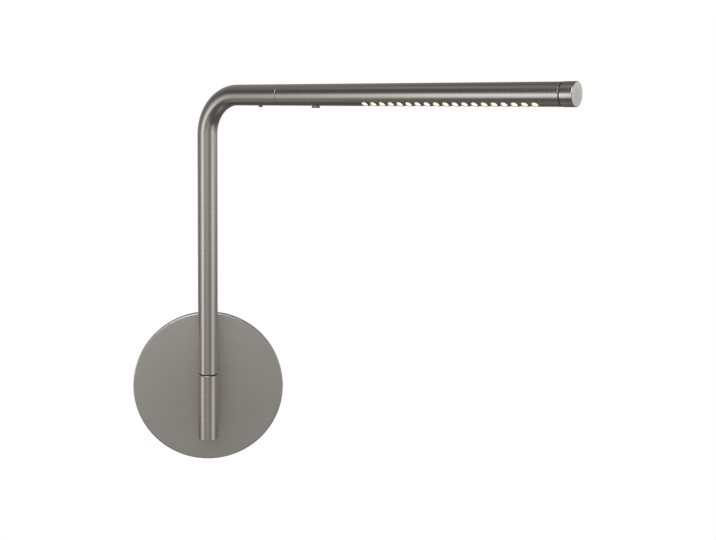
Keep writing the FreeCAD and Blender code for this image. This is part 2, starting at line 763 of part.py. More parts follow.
pieces = {
    "mounting_bracket": make_mounting_bracket,
    "ground_screw": make_ground_screw,
    "backplate": make_backplate,
    "backplate_grub_screws": make_backplate_grub_screws,
    "standoff_post": make_standoff_post,
    "post_washer": make_post_washer,
    "post_nut": make_post_nut,
    "pivot_sleeve": make_pivot_sleeve,
    "upper_bush": make_upper_bush,
    "lower_bush": make_lower_bush,
    "stop_pin": make_stop_pin,
    "sleeve_end_plug": make_sleeve_end_plug,
    "pivot_spindle": make_pivot_spindle,
    "thrust_washer": make_thrust_washer,
    "disc_springs": make_disc_springs,
    "spindle_nut": make_spindle_nut,
    "arm_tube": make_arm_tube,
    "lock_screw": make_lock_screw,
    "head_spigot": make_head_spigot,
    "friction_ring": make_friction_ring,
    "head_tube": make_head_tube,
    "led_carrier": make_led_carrier,
    "led_board": make_led_board,
    "led_chips": make_led_chips,
    "diffuser": make_diffuser,
    "end_cap": make_end_cap,
    "push_button": make_push_button,
    "button_guide": make_button_guide,
    "button_spring": make_button_spring,
    "tact_switch": make_tact_switch,
    "driver_board": make_driver_board,
    "driver_components": make_driver_components,
}

os.makedirs("parts", exist_ok=True)
for name, make in pieces.items():
    make().exportStep("parts/" + name + ".step")
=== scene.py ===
import logging
import math
from dataclasses import dataclass
from enum import Enum
from typing import Sequence

import bpy
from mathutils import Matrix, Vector
from mathutils.geometry import delaunay_2d_cdt


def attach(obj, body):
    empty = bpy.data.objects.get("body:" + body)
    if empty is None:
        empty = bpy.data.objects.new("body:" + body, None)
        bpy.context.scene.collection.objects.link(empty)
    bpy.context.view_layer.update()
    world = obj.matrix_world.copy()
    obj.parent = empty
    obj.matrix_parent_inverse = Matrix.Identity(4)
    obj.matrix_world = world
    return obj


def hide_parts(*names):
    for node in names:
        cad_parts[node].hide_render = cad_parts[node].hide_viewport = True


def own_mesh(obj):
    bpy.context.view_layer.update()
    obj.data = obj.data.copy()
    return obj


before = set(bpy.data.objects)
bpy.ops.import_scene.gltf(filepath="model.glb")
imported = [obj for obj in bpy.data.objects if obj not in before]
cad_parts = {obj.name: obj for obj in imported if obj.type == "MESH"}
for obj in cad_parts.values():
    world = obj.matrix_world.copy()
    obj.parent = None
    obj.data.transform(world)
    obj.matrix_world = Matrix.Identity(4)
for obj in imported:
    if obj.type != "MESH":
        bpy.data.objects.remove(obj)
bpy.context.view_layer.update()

# Wall reading light on a bent-tube swing arm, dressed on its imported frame.  The light's sizes
# are in millimetres and Skin.piece turns them into metres.  The studio's are in metres.
# "Along" is a place on a piece's own axis and "reach" is along the arm from the pivot axis.

MM = 0.001
STEPS_ROUND = 120            # faces round a tube
PLATE_STEPS = 240            # faces round the wall plate
HOLE_STEPS = 28              # faces round a hole
WIDE_STEP = 6.0              # between grid lines along a tube
FINE_STEP = 1.0              # and near its holes
KEYS_TO_A_MM = 1e4           # points nearer than one key are the same point
GRAIN_RADIUS = 8.0           # of the straight tube on which a finish is read
BROKEN_LEAN = 0.7            # how far the normals of a broken edge lean outward
INWARD_LOSS = 0.3            # share of their inward part that a full lean takes
CUT_LEAN = 0.4               # how far the normals of a cut corner lean along its sides
SHORTEST = 1e-6              # a shorter length counts as none

Colour = tuple[float, float, float]
Span = tuple[float, float]
WHITE = (1.0, 1.0, 1.0)
log = logging.getLogger("wall_light")


# ------------------------------------------------------------------ shader wiring

@dataclass(frozen=True)
class Noise:
    """Settings of a noise: grains to a unit of place, octaves, and weight of the finer ones."""

    scale: float
    detail: float = 3.0
    roughness: float = 0.6


class Wire:
    """A shader socket whose Python operators add Math nodes."""

    def __init__(self, graph: "Graph", socket: bpy.types.NodeSocket) -> None:
        """Keep the graph and the output socket that the wire starts from."""
        self.graph = graph
        self.socket = socket

    def _math(self, operation: str, first: "Wire | float", second: "Wire | float") -> "Wire":
        """Add a Math node.

        Args:
            operation: the node's operation.
            first: its first value or wire.
            second: its second value or wire.

        Returns:
            The wire that leaves the node.
        """
        return self.graph.wire("Math", {"operation": operation}, {0: first, 1: second})

    def __add__(self, other: "Wire | float") -> "Wire":
        """Sum."""
        return self._math("ADD", self, other)

    def __radd__(self, other: float) -> "Wire":
        """Sum with a number first."""
        return self._math("ADD", other, self)

    def __sub__(self, other: "Wire | float") -> "Wire":
        """Difference."""
        return self._math("SUBTRACT", self, other)

    def __rsub__(self, other: float) -> "Wire":
        """Difference with a number first."""
        return self._math("SUBTRACT", other, self)

    def __mul__(self, other: "Wire | float") -> "Wire":
        """Product."""
        return self._math("MULTIPLY", self, other)

    def __rmul__(self, other: float) -> "Wire":
        """Product with a number first."""
        return self._math("MULTIPLY", other, self)

    def between(self, low: float, high: float) -> "Wire":
        """Smooth step from 0 at low to 1 at high.

        Args:
            low: the value that gives 0.
            high: the value that gives 1.

        Returns:
            The stepped wire.
        """
        return self.graph.wire("MapRange", {"interpolation_type": "SMOOTHSTEP"},
                               {0: self, 1: low, 2: high, 3: 0.0, 4: 1.0})


class Graph:
    """A material's or the world's nodes while they are laid."""

    def __init__(self, owner: "bpy.types.Material | bpy.types.World") -> None:
        """Clear the owner's node tree and keep it.

        Args:
            owner: the material or world that gets the nodes.
        """
        owner.use_nodes = True
        self.owner = owner
        self.tree = owner.node_tree
        self.tree.nodes.clear()

    def node(self, kind: str, settings: dict | None = None,
             inputs: dict | None = None) -> bpy.types.Node:
        """Add any node.

        Args:
            kind: the node's type without its ShaderNode prefix.
            settings: attributes set first; "stops" fills a colour ramp.
            inputs: values or wires by socket name or number.

        Returns:
            The node.
        """
        node = self.tree.nodes.new("ShaderNode" + kind)
        for name, value in (settings or {}).items():
            if name == "stops":
                self._fill_ramp(node.color_ramp, value)
            else:
                setattr(node, name, value)
        for key, value in (inputs or {}).items():
            if isinstance(value, Wire):
                self.tree.links.new(value.socket, node.inputs[key])
            else:
                node.inputs[key].default_value = value
        return node

    @staticmethod
    def _fill_ramp(ramp: bpy.types.ColorRamp, stops: Sequence[tuple[float, Colour]]) -> None:
        """Set a colour ramp's stops.

        Args:
            ramp: the ramp.
            stops: pairs of place and colour, two or more.
        """
        while len(ramp.elements) < len(stops):
            ramp.elements.new(1.0)
        for element, (place, colour) in zip(ramp.elements, stops):
            element.position = place
            element.color = (*colour, 1.0)

    def wire(self, kind: str, settings: dict | None = None, inputs: dict | None = None,
             output: "int | str" = 0) -> Wire:
        """Add any node and take one of its outputs.

        Args:
            kind: the node's type without its ShaderNode prefix.
            settings: attributes set first.
            inputs: values or wires by socket name or number.
            output: the output's name or number.

        Returns:
            The wire that leaves that output.
        """
        return Wire(self, self.node(kind, settings, inputs).outputs[output])

    def noise(self, place: Wire, noise: Noise) -> Wire:
        """Noise between 0 and 1, read at a place."""
        return self.wire("TexNoise", None, {"Vector": place, "Scale": noise.scale,
                                            "Detail": noise.detail, "Roughness": noise.roughness})

    def attribute(self, name: str, output: str = "Fac") -> Wire:
        """Value that the mesh keeps at each point."""
        return self.wire("Attribute", {"attribute_name": name}, None, output)

    def object_place(self) -> Wire:
        """Place on the object in metres, in the row frame at rest."""
        return self.wire("TexCoord", None, None, "Object")

    def stretched(self, place: Wire, scale: Sequence[float], turn: float = 0.0) -> Wire:
        """Turn a place about +Z and then stretch it along its axes.

        Args:
            place: the place.
            scale: factor along each axis.
            turn: the angle in radians.

        Returns:
            The new place.
        """
        if turn:
            place = self.wire("VectorRotate", {"rotation_type": "Z_AXIS"},
                              {"Vector": place, "Angle": turn})
        return self.wire("VectorMath", {"operation": "MULTIPLY"}, {0: place, 1: tuple(scale)})

    def blend(self, share: "Wire | float", first: "Wire | Colour", second: "Wire | Colour") -> Wire:
        """Mix two colours.

        Args:
            share: 0 gives the first and 1 the second.
            first: a colour or a wire.
            second: a colour or a wire.

        Returns:
            The mixed colour.
        """
        ends = [end if isinstance(end, Wire) else (*end, 1.0) for end in (first, second)]
        return self.wire("Mix", {"data_type": "RGBA"}, {0: share, 6: ends[0], 7: ends[1]}, 2)

    def bump(self, height: Wire, distance: float, strength: float) -> Wire:
        """Normal bent by a height.

        Args:
            height: the height, 0 to 1.
            distance: the depth of 1, in metres.
            strength: share of the effect.

        Returns:
            The normal.
        """
        return self.wire("Bump", None,
                         {"Height": height, "Distance": distance, "Strength": strength})

    def surface(self, inputs: dict) -> "bpy.types.Material | bpy.types.World":
        """Close the graph with a Principled shader.

        Args:
            inputs: its values and wires by socket name.

        Returns:
            The owner of the nodes.
        """
        return self.close(self.wire("BsdfPrincipled", None, inputs), "OutputMaterial")

    def close(self, shader: Wire, output: str) -> "bpy.types.Material | bpy.types.World":
        """Link a shader to the graph's output.

        Args:
            shader: the shader wire.
            output: the output node's type.

        Returns:
            The owner of the nodes.
        """
        self.node(output, None, {"Surface": shader})
        return self.owner


def open_material(name: str) -> tuple[Graph, Wire]:
    """Start a new material's nodes, and give them with the place on the object in metres."""
    graph = Graph(bpy.data.materials.new(name))
    return graph, graph.object_place()


# ------------------------------------------------------------------ finishes

REST_SWING = math.radians(41.0)
PIVOT_SHIFT = -0.028 * math.sin(REST_SWING)     # reach of the row frame's origin in metres
MEAN = 0.5                                      # of a noise
CLOUDY = (0.35, 0.75)                           # range of a noise that gives soft clouds


class Grain(Enum):
    """How a metal's fine lines run: where they are read, the turn, and each axis's stretch."""

    ROUND_TUBE = ("grain", 0.0, (0.04, 0.04, 1.0))
    ROUND_DEPTH = ("object", 0.0, (0.04, 1.0, 0.04))
    ROUND_UPRIGHT = ("object", 0.0, (0.04, 0.04, 1.0))
    ROUND_ARM = ("object", REST_SWING, (1.0, 0.04, 0.04))
    ALONG_ARM = ("object", REST_SWING, (0.02, 1.0, 1.0))
    ACROSS_PLATE = ("object", 0.0, (0.03, 0.03, 1.0))
    EVEN = ("object", 0.0, (1.0, 1.0, 1.0))

    def place(self, graph: Graph) -> Wire:
        """Place that is stretched so that noise read there runs in lines.

        Args:
            graph: the material's nodes.

        Returns:
            The stretched place.
        """
        source, turn, scale = self.value
        start = graph.attribute("grain", "Vector") if source == "grain" else graph.object_place()
        return graph.stretched(start, scale, turn)


@dataclass(frozen=True)
class LinedMetal:
    """Bare or plated metal with the fine lines of its making."""

    name: str
    bright: Colour
    dull: Colour
    roughness: float
    grain: Grain
    lines: float = 5200.0        # to a metre
    set_width: float = 9.0       # lines across a broader set of them
    line_share: float = 0.6      # the broader sets have the rest
    bright_range: Span = (0.30, 0.70)
    roughness_spread: float = 0.10
    cloud: Noise = Noise(38.0)
    cloud_share: float = 0.22
    cloud_roughness: float = 0.05
    worn: Colour = (0.78, 0.76, 0.73)
    worn_share: float = 0.30
    worn_polish: float = 0.03
    groove: float = 0.000012     # depth of the lines in metres
    relief: float = 0.35

    def material(self) -> bpy.types.Material:
        """Lay the nodes: lines, broader sets of lines, handling marks and worn edges.

        Returns:
            The material.
        """
        graph, whole = open_material(self.name)
        place = self.grain.place(graph)
        lines = graph.noise(place, Noise(self.lines, 2.0))
        sets = graph.noise(place, Noise(self.lines / self.set_width, roughness=0.55))
        cloud = graph.noise(whole, self.cloud)
        worn = graph.attribute("wear")
        polish = lines * self.line_share + sets * (1.0 - self.line_share)
        tone = graph.blend(polish.between(*self.bright_range), self.dull, self.bright)
        tone = graph.blend(cloud.between(*CLOUDY) * self.cloud_share, tone, self.dull)
        tone = graph.blend(worn * self.worn_share, tone, self.worn)
        rough = (polish - MEAN) * self.roughness_spread + (cloud - MEAN) * self.cloud_roughness
        rough = rough + self.roughness - worn * self.worn_polish
        return graph.surface({
            "Base Color": tone, "Metallic": 1.0, "Roughness": rough,
            "Normal": graph.bump(polish, self.groove, self.relief)})


@dataclass(frozen=True)
class ZincPlated:
    """Pressed steel with passivated zinc: faint crystal patches and a cool sheen."""

    name: str
    colour: Colour
    stain: Colour = (0.50, 0.49, 0.42)
    shade: float = 0.78          # the darker crystals' share of the colour
    roughness: float = 0.36
    crystals: float = 900.0      # to a metre
    rolled: Noise = Noise(2600.0, 2.0)
    rolled_way: Colour = (0.03, 1.0, 1.0)
    spots: Noise = Noise(160.0, 4.0, 0.65)
    darker_shares: Span = (0.35, 0.25)               # of the crystals and the rolling lines
    stain_range: Span = (0.58, 0.72)
    stain_share: float = 0.4
    roughness_spreads: Span = (0.10, 0.16)           # of the crystals and the stains
    rolled_relief: float = 0.6                       # the crystals have the rest
    depth: float = 0.00001
    relief: float = 0.3

    def material(self) -> bpy.types.Material:
        """Lay the nodes: crystal patches, rolling lines and dull spots.

        Returns:
            The material.
        """
        graph, whole = open_material(self.name)
        crystal = graph.wire("TexVoronoi", {"feature": "SMOOTH_F1"},
                             {"Vector": whole, "Scale": self.crystals}, "Color")
        patch = graph.wire("SeparateColor", None, {0: crystal}, 0)
        rolled = graph.noise(graph.stretched(whole, self.rolled_way), self.rolled)
        spots = graph.noise(whole, self.spots)
        (by_patch, by_line), (patch_rough, spot_rough) = self.darker_shares, self.roughness_spreads
        darker = tuple(self.shade * part for part in self.colour)
        tone = graph.blend(patch * by_patch + rolled * by_line, self.colour, darker)
        stained = spots.between(*self.stain_range) * self.stain_share
        height = rolled * self.rolled_relief + patch * (1.0 - self.rolled_relief)
        return graph.surface({
            "Base Color": graph.blend(stained, tone, self.stain), "Metallic": 1.0,
            "Roughness": patch * patch_rough + (spots - MEAN) * spot_rough + self.roughness,
            "Normal": graph.bump(height, self.depth, self.relief)})


@dataclass(frozen=True)
class Coated:
    """Thin dark or coloured conversion coating that wears to metal on high spots."""

    name: str
    colour: Colour
    metal: Colour
    roughness: float
    shine: float                 # metallic share of the coating
    blast: Noise = Noise(5200.0, 3.0, 0.7)
    rubbed: Noise = Noise(620.0, 4.0)
    rubbed_range: Span = (0.60, 0.74)
    rubbed_share: float = 0.35
    rubbed_polish: float = 0.08
    roughness_spread: float = 0.16
    depth: float = 0.00002
    relief: float = 0.3

    def material(self) -> bpy.types.Material:
        """Lay the nodes: fine blast texture and rubbed high spots.

        Returns:
            The material.
        """
        graph, whole = open_material(self.name)
        blast = graph.noise(whole, self.blast)
        rubbed = graph.noise(whole, self.rubbed).between(*self.rubbed_range)
        rough = (blast - MEAN) * self.roughness_spread + self.roughness
        return graph.surface({
            "Base Color": graph.blend(rubbed * self.rubbed_share, self.colour, self.metal),
            "Metallic": rubbed * (1.0 - self.shine) + self.shine,
            "Roughness": rough - rubbed * self.rubbed_polish,
            "Normal": graph.bump(blast, self.depth, self.relief)})


@dataclass(frozen=True)
class Moulded:
    """Moulded plastic or rubber with a spark-eroded mould texture."""

    name: str
    colour: Colour
    lighter: Colour
    roughness: float
    texture: float = 3200.0      # grains to a metre
    depth: float = 0.00003
    flow: Noise = Noise(90.0, 3.0, 0.5)
    lighter_shares: Span = (0.5, 0.2)                # of the flow and the grain
    roughness_spread: float = 0.22
    flow_roughness: float = 0.1
    relief: float = 0.4

    def material(self) -> bpy.types.Material:
        """Lay the nodes: mould grain and flow clouds.

        Returns:
            The material.
        """
        graph, whole = open_material(self.name)
        grain = graph.noise(whole, Noise(self.texture, roughness=0.65))
        flow = graph.noise(whole, self.flow)
        by_flow, by_grain = self.lighter_shares
        share = flow.between(*CLOUDY) * by_flow + grain * by_grain
        rough = (grain - MEAN) * self.roughness_spread + (flow - MEAN) * self.flow_roughness
        return graph.surface({
            "Base Color": graph.blend(share, self.colour, self.lighter),
            "Roughness": rough + self.roughness,
            "Normal": graph.bump(grain, self.depth, self.relief)})


@dataclass(frozen=True)
class CircuitBoard:
    """Board with a solder mask over raised copper tracks."""

    name: str
    mask: Colour
    track: Colour
    pad: Colour
    tracks: float = 420.0        # scale of the tracks
    pads: float = 480.0          # scale of the tinned pads
    pad_range: Span = (0.16, 0.20)
    weave: Noise = Noise(2500.0, 2.0)
    roughness: float = 0.38
    roughness_spread: float = 0.15
    track_share: float = 0.8
    pad_shine: float = 0.9
    track_relief: float = 0.7                        # the pads have the rest
    depth: float = 0.00003
    relief: float = 0.6

    def material(self) -> bpy.types.Material:
        """Lay the nodes: tracks in straight runs, tinned pads and mask texture.

        Returns:
            The material.
        """
        graph, whole = open_material(self.name)
        along = graph.stretched(whole, (1.0, 1.0, 1.0), REST_SWING)
        runs = graph.wire("TexBrick", {"offset": 0.5}, {
            "Vector": along, "Scale": self.tracks, "Mortar Size": 0.09, "Mortar Smooth": 0.2,
            "Brick Width": 2.6, "Row Height": 0.55}, "Fac")
        spots = graph.wire("TexVoronoi", {"feature": "F1"},
                           {"Vector": along, "Scale": self.pads}, "Distance")
        tinned = 1.0 - spots.between(*self.pad_range)
        weave = graph.noise(along, self.weave)
        tone = graph.blend(runs * self.track_share, self.mask, self.track)
        height = runs * self.track_relief + tinned * (1.0 - self.track_relief)
        return graph.surface({
            "Base Color": graph.blend(tinned, tone, self.pad), "Metallic": tinned * self.pad_shine,
            "Roughness": (weave - MEAN) * self.roughness_spread + self.roughness,
            "Normal": graph.bump(height, self.depth, self.relief)})


@dataclass(frozen=True)
class LitOpal:
    """Opal plastic lit from behind: brightest under each chip, warmer beside it and at the ends."""

    name: str
    glow: Colour
    edge: Colour
    last: Colour
    body: Colour
    milk_colour: Colour
    pitch: float                 # metres between chips
    start: float                 # reach of the first chip in metres
    end: float                   # reach of the last chip in metres
    fade: float                  # metres over which an end grows dim
    strength: float
    milk: Noise = Noise(700.0)
    milk_share: float = 0.2
    roughness: float = 0.42
    roughness_spread: float = 0.2
    depth: float = 0.00002
    relief: float = 0.2

    def material(self) -> bpy.types.Material:
        """Lay the nodes: a bright pool under each chip, milky streaks and dim ends.

        Returns:
            The material.
        """
        graph, whole = open_material(self.name)
        along = graph.stretched(whole, (1.0, 1.0, 1.0), REST_SWING)
        reach = graph.wire("SeparateXYZ", None, {0: along}, 0) + PIVOT_SHIFT
        turns = (reach - self.start) * (2 * math.pi / self.pitch)
        wave = graph.wire("Math", {"operation": "COSINE"}, {0: turns})
        milk = graph.noise(whole, self.milk)
        pool = (wave * 0.5 + 0.5) * (1.0 - self.milk_share) + milk * self.milk_share
        inner = reach.between(self.start, self.start + self.fade) * (
            1.0 - reach.between(self.end - self.fade, self.end))
        tone = graph.blend(inner, self.last, graph.blend(pool, self.edge, self.glow))
        return graph.surface({
            "Base Color": graph.blend(milk, self.body, self.milk_colour),
            "Roughness": (milk - MEAN) * self.roughness_spread + self.roughness,
            "Emission Color": tone, "Emission Strength": self.strength,
            "Normal": graph.bump(milk, self.depth, self.relief)})


@dataclass(frozen=True)
class Phosphor:
    """Light chip: phosphor gel speckled in a pale frame, lit."""

    name: str
    gel: Colour
    frame_colour: Colour
    strength: float
    specks: float = 5200.0       # to a metre
    cloud: Noise = Noise(1200.0)
    speck_range: Span = (0.1, 0.6)
    pale_shares: Span = (0.5, 0.3)                   # of the specks and the cloud
    roughness: float = 0.3
    roughness_spread: float = 0.2
    depth: float = 0.00002
    relief: float = 0.3

    def material(self) -> bpy.types.Material:
        """Lay the nodes: phosphor specks and a soft glow.

        Returns:
            The material.
        """
        graph, whole = open_material(self.name)
        specks = graph.wire("TexVoronoi", {"feature": "F1"},
                            {"Vector": whole, "Scale": self.specks}, "Distance")
        cloud = graph.noise(whole, self.cloud)
        by_speck, by_cloud = self.pale_shares
        share = specks.between(*self.speck_range) * by_speck + cloud * by_cloud
        tone = graph.blend(share, self.gel, self.frame_colour)
        return graph.surface({
            "Base Color": tone, "Emission Color": tone, "Emission Strength": self.strength,
            "Roughness": (cloud - MEAN) * self.roughness_spread + self.roughness,
            "Normal": graph.bump(specks, self.depth, self.relief)})


NICKEL = ((0.600, 0.566, 0.524), (0.528, 0.495, 0.455))     # each metal: bright, then dull
PLATE_NICKEL = ((0.556, 0.520, 0.475), (0.508, 0.474, 0.431))
# the nickel darkened to paint the shade on the push button under the head
PAINTED_SHADE_NICKEL = ((0.30, 0.285, 0.265), (0.235, 0.222, 0.205))
STEEL = ((0.62, 0.61, 0.60), (0.50, 0.50, 0.49))
ALUMINIUM = ((0.76, 0.76, 0.77), (0.64, 0.64, 0.65))


class Finishes:
    """The finishes of this light, each made once when it is first asked for."""

    ALL = (
        LinedMetal("tube_nickel", *NICKEL, 0.18, Grain.ROUND_TUBE),
        LinedMetal("plate_nickel", *PLATE_NICKEL, 0.42, Grain.ACROSS_PLATE, 4200.0),
        LinedMetal("post_nickel", *NICKEL, 0.30, Grain.ROUND_DEPTH),
        LinedMetal("plug_nickel", *NICKEL, 0.32, Grain.ROUND_UPRIGHT),
        LinedMetal("nickel_painted_shade", *PAINTED_SHADE_NICKEL, 0.34, Grain.ROUND_UPRIGHT),
        LinedMetal("bright_steel", *STEEL, 0.26, Grain.ROUND_UPRIGHT, 3800.0),
        LinedMetal("spring_steel", *STEEL, 0.24, Grain.EVEN, 2600.0),
        LinedMetal("spigot_aluminium", *ALUMINIUM, 0.34, Grain.ROUND_ARM, 3000.0),
        LinedMetal("carrier_aluminium", *ALUMINIUM, 0.38, Grain.ALONG_ARM, 2400.0),
        ZincPlated("zinc_steel", (0.62, 0.63, 0.65)),
        Coated("black_steel", (0.055, 0.055, 0.058), (0.36, 0.35, 0.34), 0.42, 0.55),
        Coated("smoked_steel", (0.20, 0.195, 0.19), (0.50, 0.49, 0.47), 0.38, 0.75),
        Coated("green_zinc", (0.07, 0.33, 0.13), (0.45, 0.50, 0.42), 0.34, 0.60),
        Moulded("black_nylon", (0.022, 0.022, 0.023), (0.045, 0.045, 0.047), 0.52),
        # also the painted shade of the ring in the end cap's groove
        Moulded("black_rubber", (0.020, 0.020, 0.020), (0.060, 0.058, 0.055), 0.72, 2200.0,
                0.00004),
        Moulded("dark_parts", (0.040, 0.040, 0.045), (0.085, 0.085, 0.095), 0.44, 4200.0),
        CircuitBoard("white_board", (0.84, 0.84, 0.82), (0.90, 0.90, 0.88), (0.72, 0.72, 0.70)),
        CircuitBoard("green_board", (0.035, 0.20, 0.085), (0.07, 0.32, 0.15), (0.74, 0.73, 0.69)),
        Phosphor("led_phosphor", (0.95, 0.74, 0.26), (0.93, 0.90, 0.80), 1.2),
        LitOpal("opal_plastic", (1.0, 0.95, 0.78), (1.0, 0.90, 0.66), (1.0, 0.86, 0.58),
                (0.82, 0.75, 0.60), (0.88, 0.82, 0.68), 0.0072, 0.1510, 0.2818, 0.0045, 0.76),
    )

    def __init__(self) -> None:
        """Start with no material made."""
        self._kinds = {finish.name: finish for finish in self.ALL}
        self._made: dict[str, bpy.types.Material] = {}

    def material(self, name: str) -> bpy.types.Material:
        """Find a finish's material, or lay it on its first use.

        Args:
            name: the finish's name.

        Returns:
            The material.
        """
        if name not in self._made:
            self._made[name] = self._kinds[name].material()
        return self._made[name]

    def dress(self, wear: dict[str, str]) -> None:
        """Give carried-over CAD nodes their finishes.

        Args:
            wear: the finish's name by the node's name.
        """
        for node, finish in wear.items():
            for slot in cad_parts[node].material_slots:
                slot.material = self.material(finish)
            log.info("node %s wears %s", node, finish)


# ------------------------------------------------------------------ mesh drawing

def grain_at(angle: float, path: float) -> Vector:
    """Place on a tube pulled straight, for its finish."""
    return Vector((GRAIN_RADIUS * math.cos(angle), GRAIN_RADIUS * math.sin(angle), path))


@dataclass(frozen=True)
class Ring:
    """Closed ring of numbered points, with a normal at each."""

    points: list[int]
    normals: list[Vector]


def place_object(name: str, data: bpy.types.ID) -> bpy.types.Object:
    """Make an object of a mesh, lamp or camera and put it in the scene.

    Args:
        name: the object's name.
        data: what it shows.

    Returns:
        The object.
    """
    made = bpy.data.objects.new(name, data)
    bpy.context.scene.collection.objects.link(made)
    return made


class Skin:
    """Points, faces and corner normals of one piece while it is drawn."""

    def __init__(self) -> None:
        """Start empty."""
        self.points: list[Vector] = []
        self.grain: list[Vector] = []
        self.wear: list[float] = []
        self.faces: list[list[int]] = []
        self.normals: list[Vector] = []
        self._known: dict[tuple[int, int, int], int] = {}

    def point(self, place: Vector, grain: Vector, wear: float = 0.0) -> int:
        """Add a point, or find the one already there.

        Args:
            place: where it is, in millimetres.
            grain: its place on the piece pulled straight, for the finish.
            wear: 1 on an edge that handling polishes, else 0.

        Returns:
            The point's number.
        """
        key = tuple(round(part * KEYS_TO_A_MM) for part in place)
        if key not in self._known:
            self._known[key] = len(self.points)
            self.points.append(place)
            self.grain.append(grain)
            self.wear.append(wear)
        return self._known[key]

    def face(self, corners: Sequence[int], normals: Sequence[Vector]) -> None:
        """Add a face that looks the way its corner normals do.

        Args:
            corners: point numbers in order round the face; repeats are dropped.
            normals: a unit normal for each corner.
        """
        kept = [k for k in range(len(corners)) if corners[k] != corners[k - 1]]
        if len(kept) < 3:
            return
        ids = [corners[k] for k in kept]
        leans = [normals[k] for k in kept]
        start = self.points[ids[0]]
        flat = Vector((0.0, 0.0, 0.0))
        for k in range(1, len(ids) - 1):
            flat += (self.points[ids[k]] - start).cross(self.points[ids[k + 1]] - start)
        if flat.dot(sum(leans, Vector((0.0, 0.0, 0.0)))) < 0:
            ids.reverse()
            leans.reverse()
        self.faces.append(ids)
        self.normals.extend(leans)

    def strip(self, first: Ring, second: Ring) -> None:
        """Join two rings of as many points with faces.

        Args:
            first: one ring.
            second: the other.
        """
        for k in range(len(first.points)):
            spots = ((first, k - 1), (first, k), (second, k), (second, k - 1))
            self.face([ring.points[spot] for ring, spot in spots],
                      [ring.normals[spot] for ring, spot in spots])

    def strips(self, rings: Sequence[Ring]) -> None:
        """Join each ring with the next."""
        for first, second in zip(rings, rings[1:]):
            self.strip(first, second)

    def piece(self, name: str, material: bpy.types.Material, body: str, slot: str,
              *nodes: str) -> bpy.types.Object:
        """Finish the drawing as an object that rides on a body.

        Args:
            name: the piece's name.
            material: its finish.
            body: the CAD body that it moves with.
            slot: not used.
            nodes: CAD nodes that it stands for.

        Returns:
            The object.
        """
        mesh = bpy.data.meshes.new(name)
        mesh.from_pydata([point * MM for point in self.points], [], self.faces, shade_flat=False)
        grain = mesh.attributes.new("grain", "FLOAT_VECTOR", "POINT")
        grain.data.foreach_set("vector", [part * MM for spot in self.grain for part in spot])
        wear = mesh.attributes.new("wear", "FLOAT", "POINT")
        wear.data.foreach_set("value", self.wear)
        mesh.normals_split_custom_set([normal.normalized() for normal in self.normals])
        mesh.materials.append(material)
        piece = place_object(name, mesh)
        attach(piece, body)
        if nodes:
            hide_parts(*nodes)
        log.info("piece %s: %d points, %d faces, on %s", name, len(self.points),
                 len(self.faces), body)
        return piece


@dataclass(frozen=True)
class Stand:
    """Where a round piece stands: its foot, its axis, and the direction that angle 0 faces."""

    foot: Vector
    axis: Vector
    front: Vector

    @property
    def side(self) -> Vector:
        """Direction that a quarter turn faces."""
        return self.axis.cross(self.front)

    def outward(self, angle: float) -> Vector:
        """Unit direction away from the axis at an angle."""
        return self.front * math.cos(angle) + self.side * math.sin(angle)

    def place(self, along: float, radius: float, angle: float) -> Vector:
        """Point at a place along the axis, a radius and an angle."""
        return self.foot + self.axis * along + self.outward(angle) * radius


@dataclass(frozen=True)
class Corner:
    """One corner of a turned piece's half section."""

    along: float
    radius: float
    rounding: float = 0.0


@dataclass(frozen=True)
class Station:
    """One ring of a turned piece: its place, its normal and its wear."""

    along: float
    radius: float
    normal_along: float
    normal_out: float
    path: float
    wear: float = 0.0


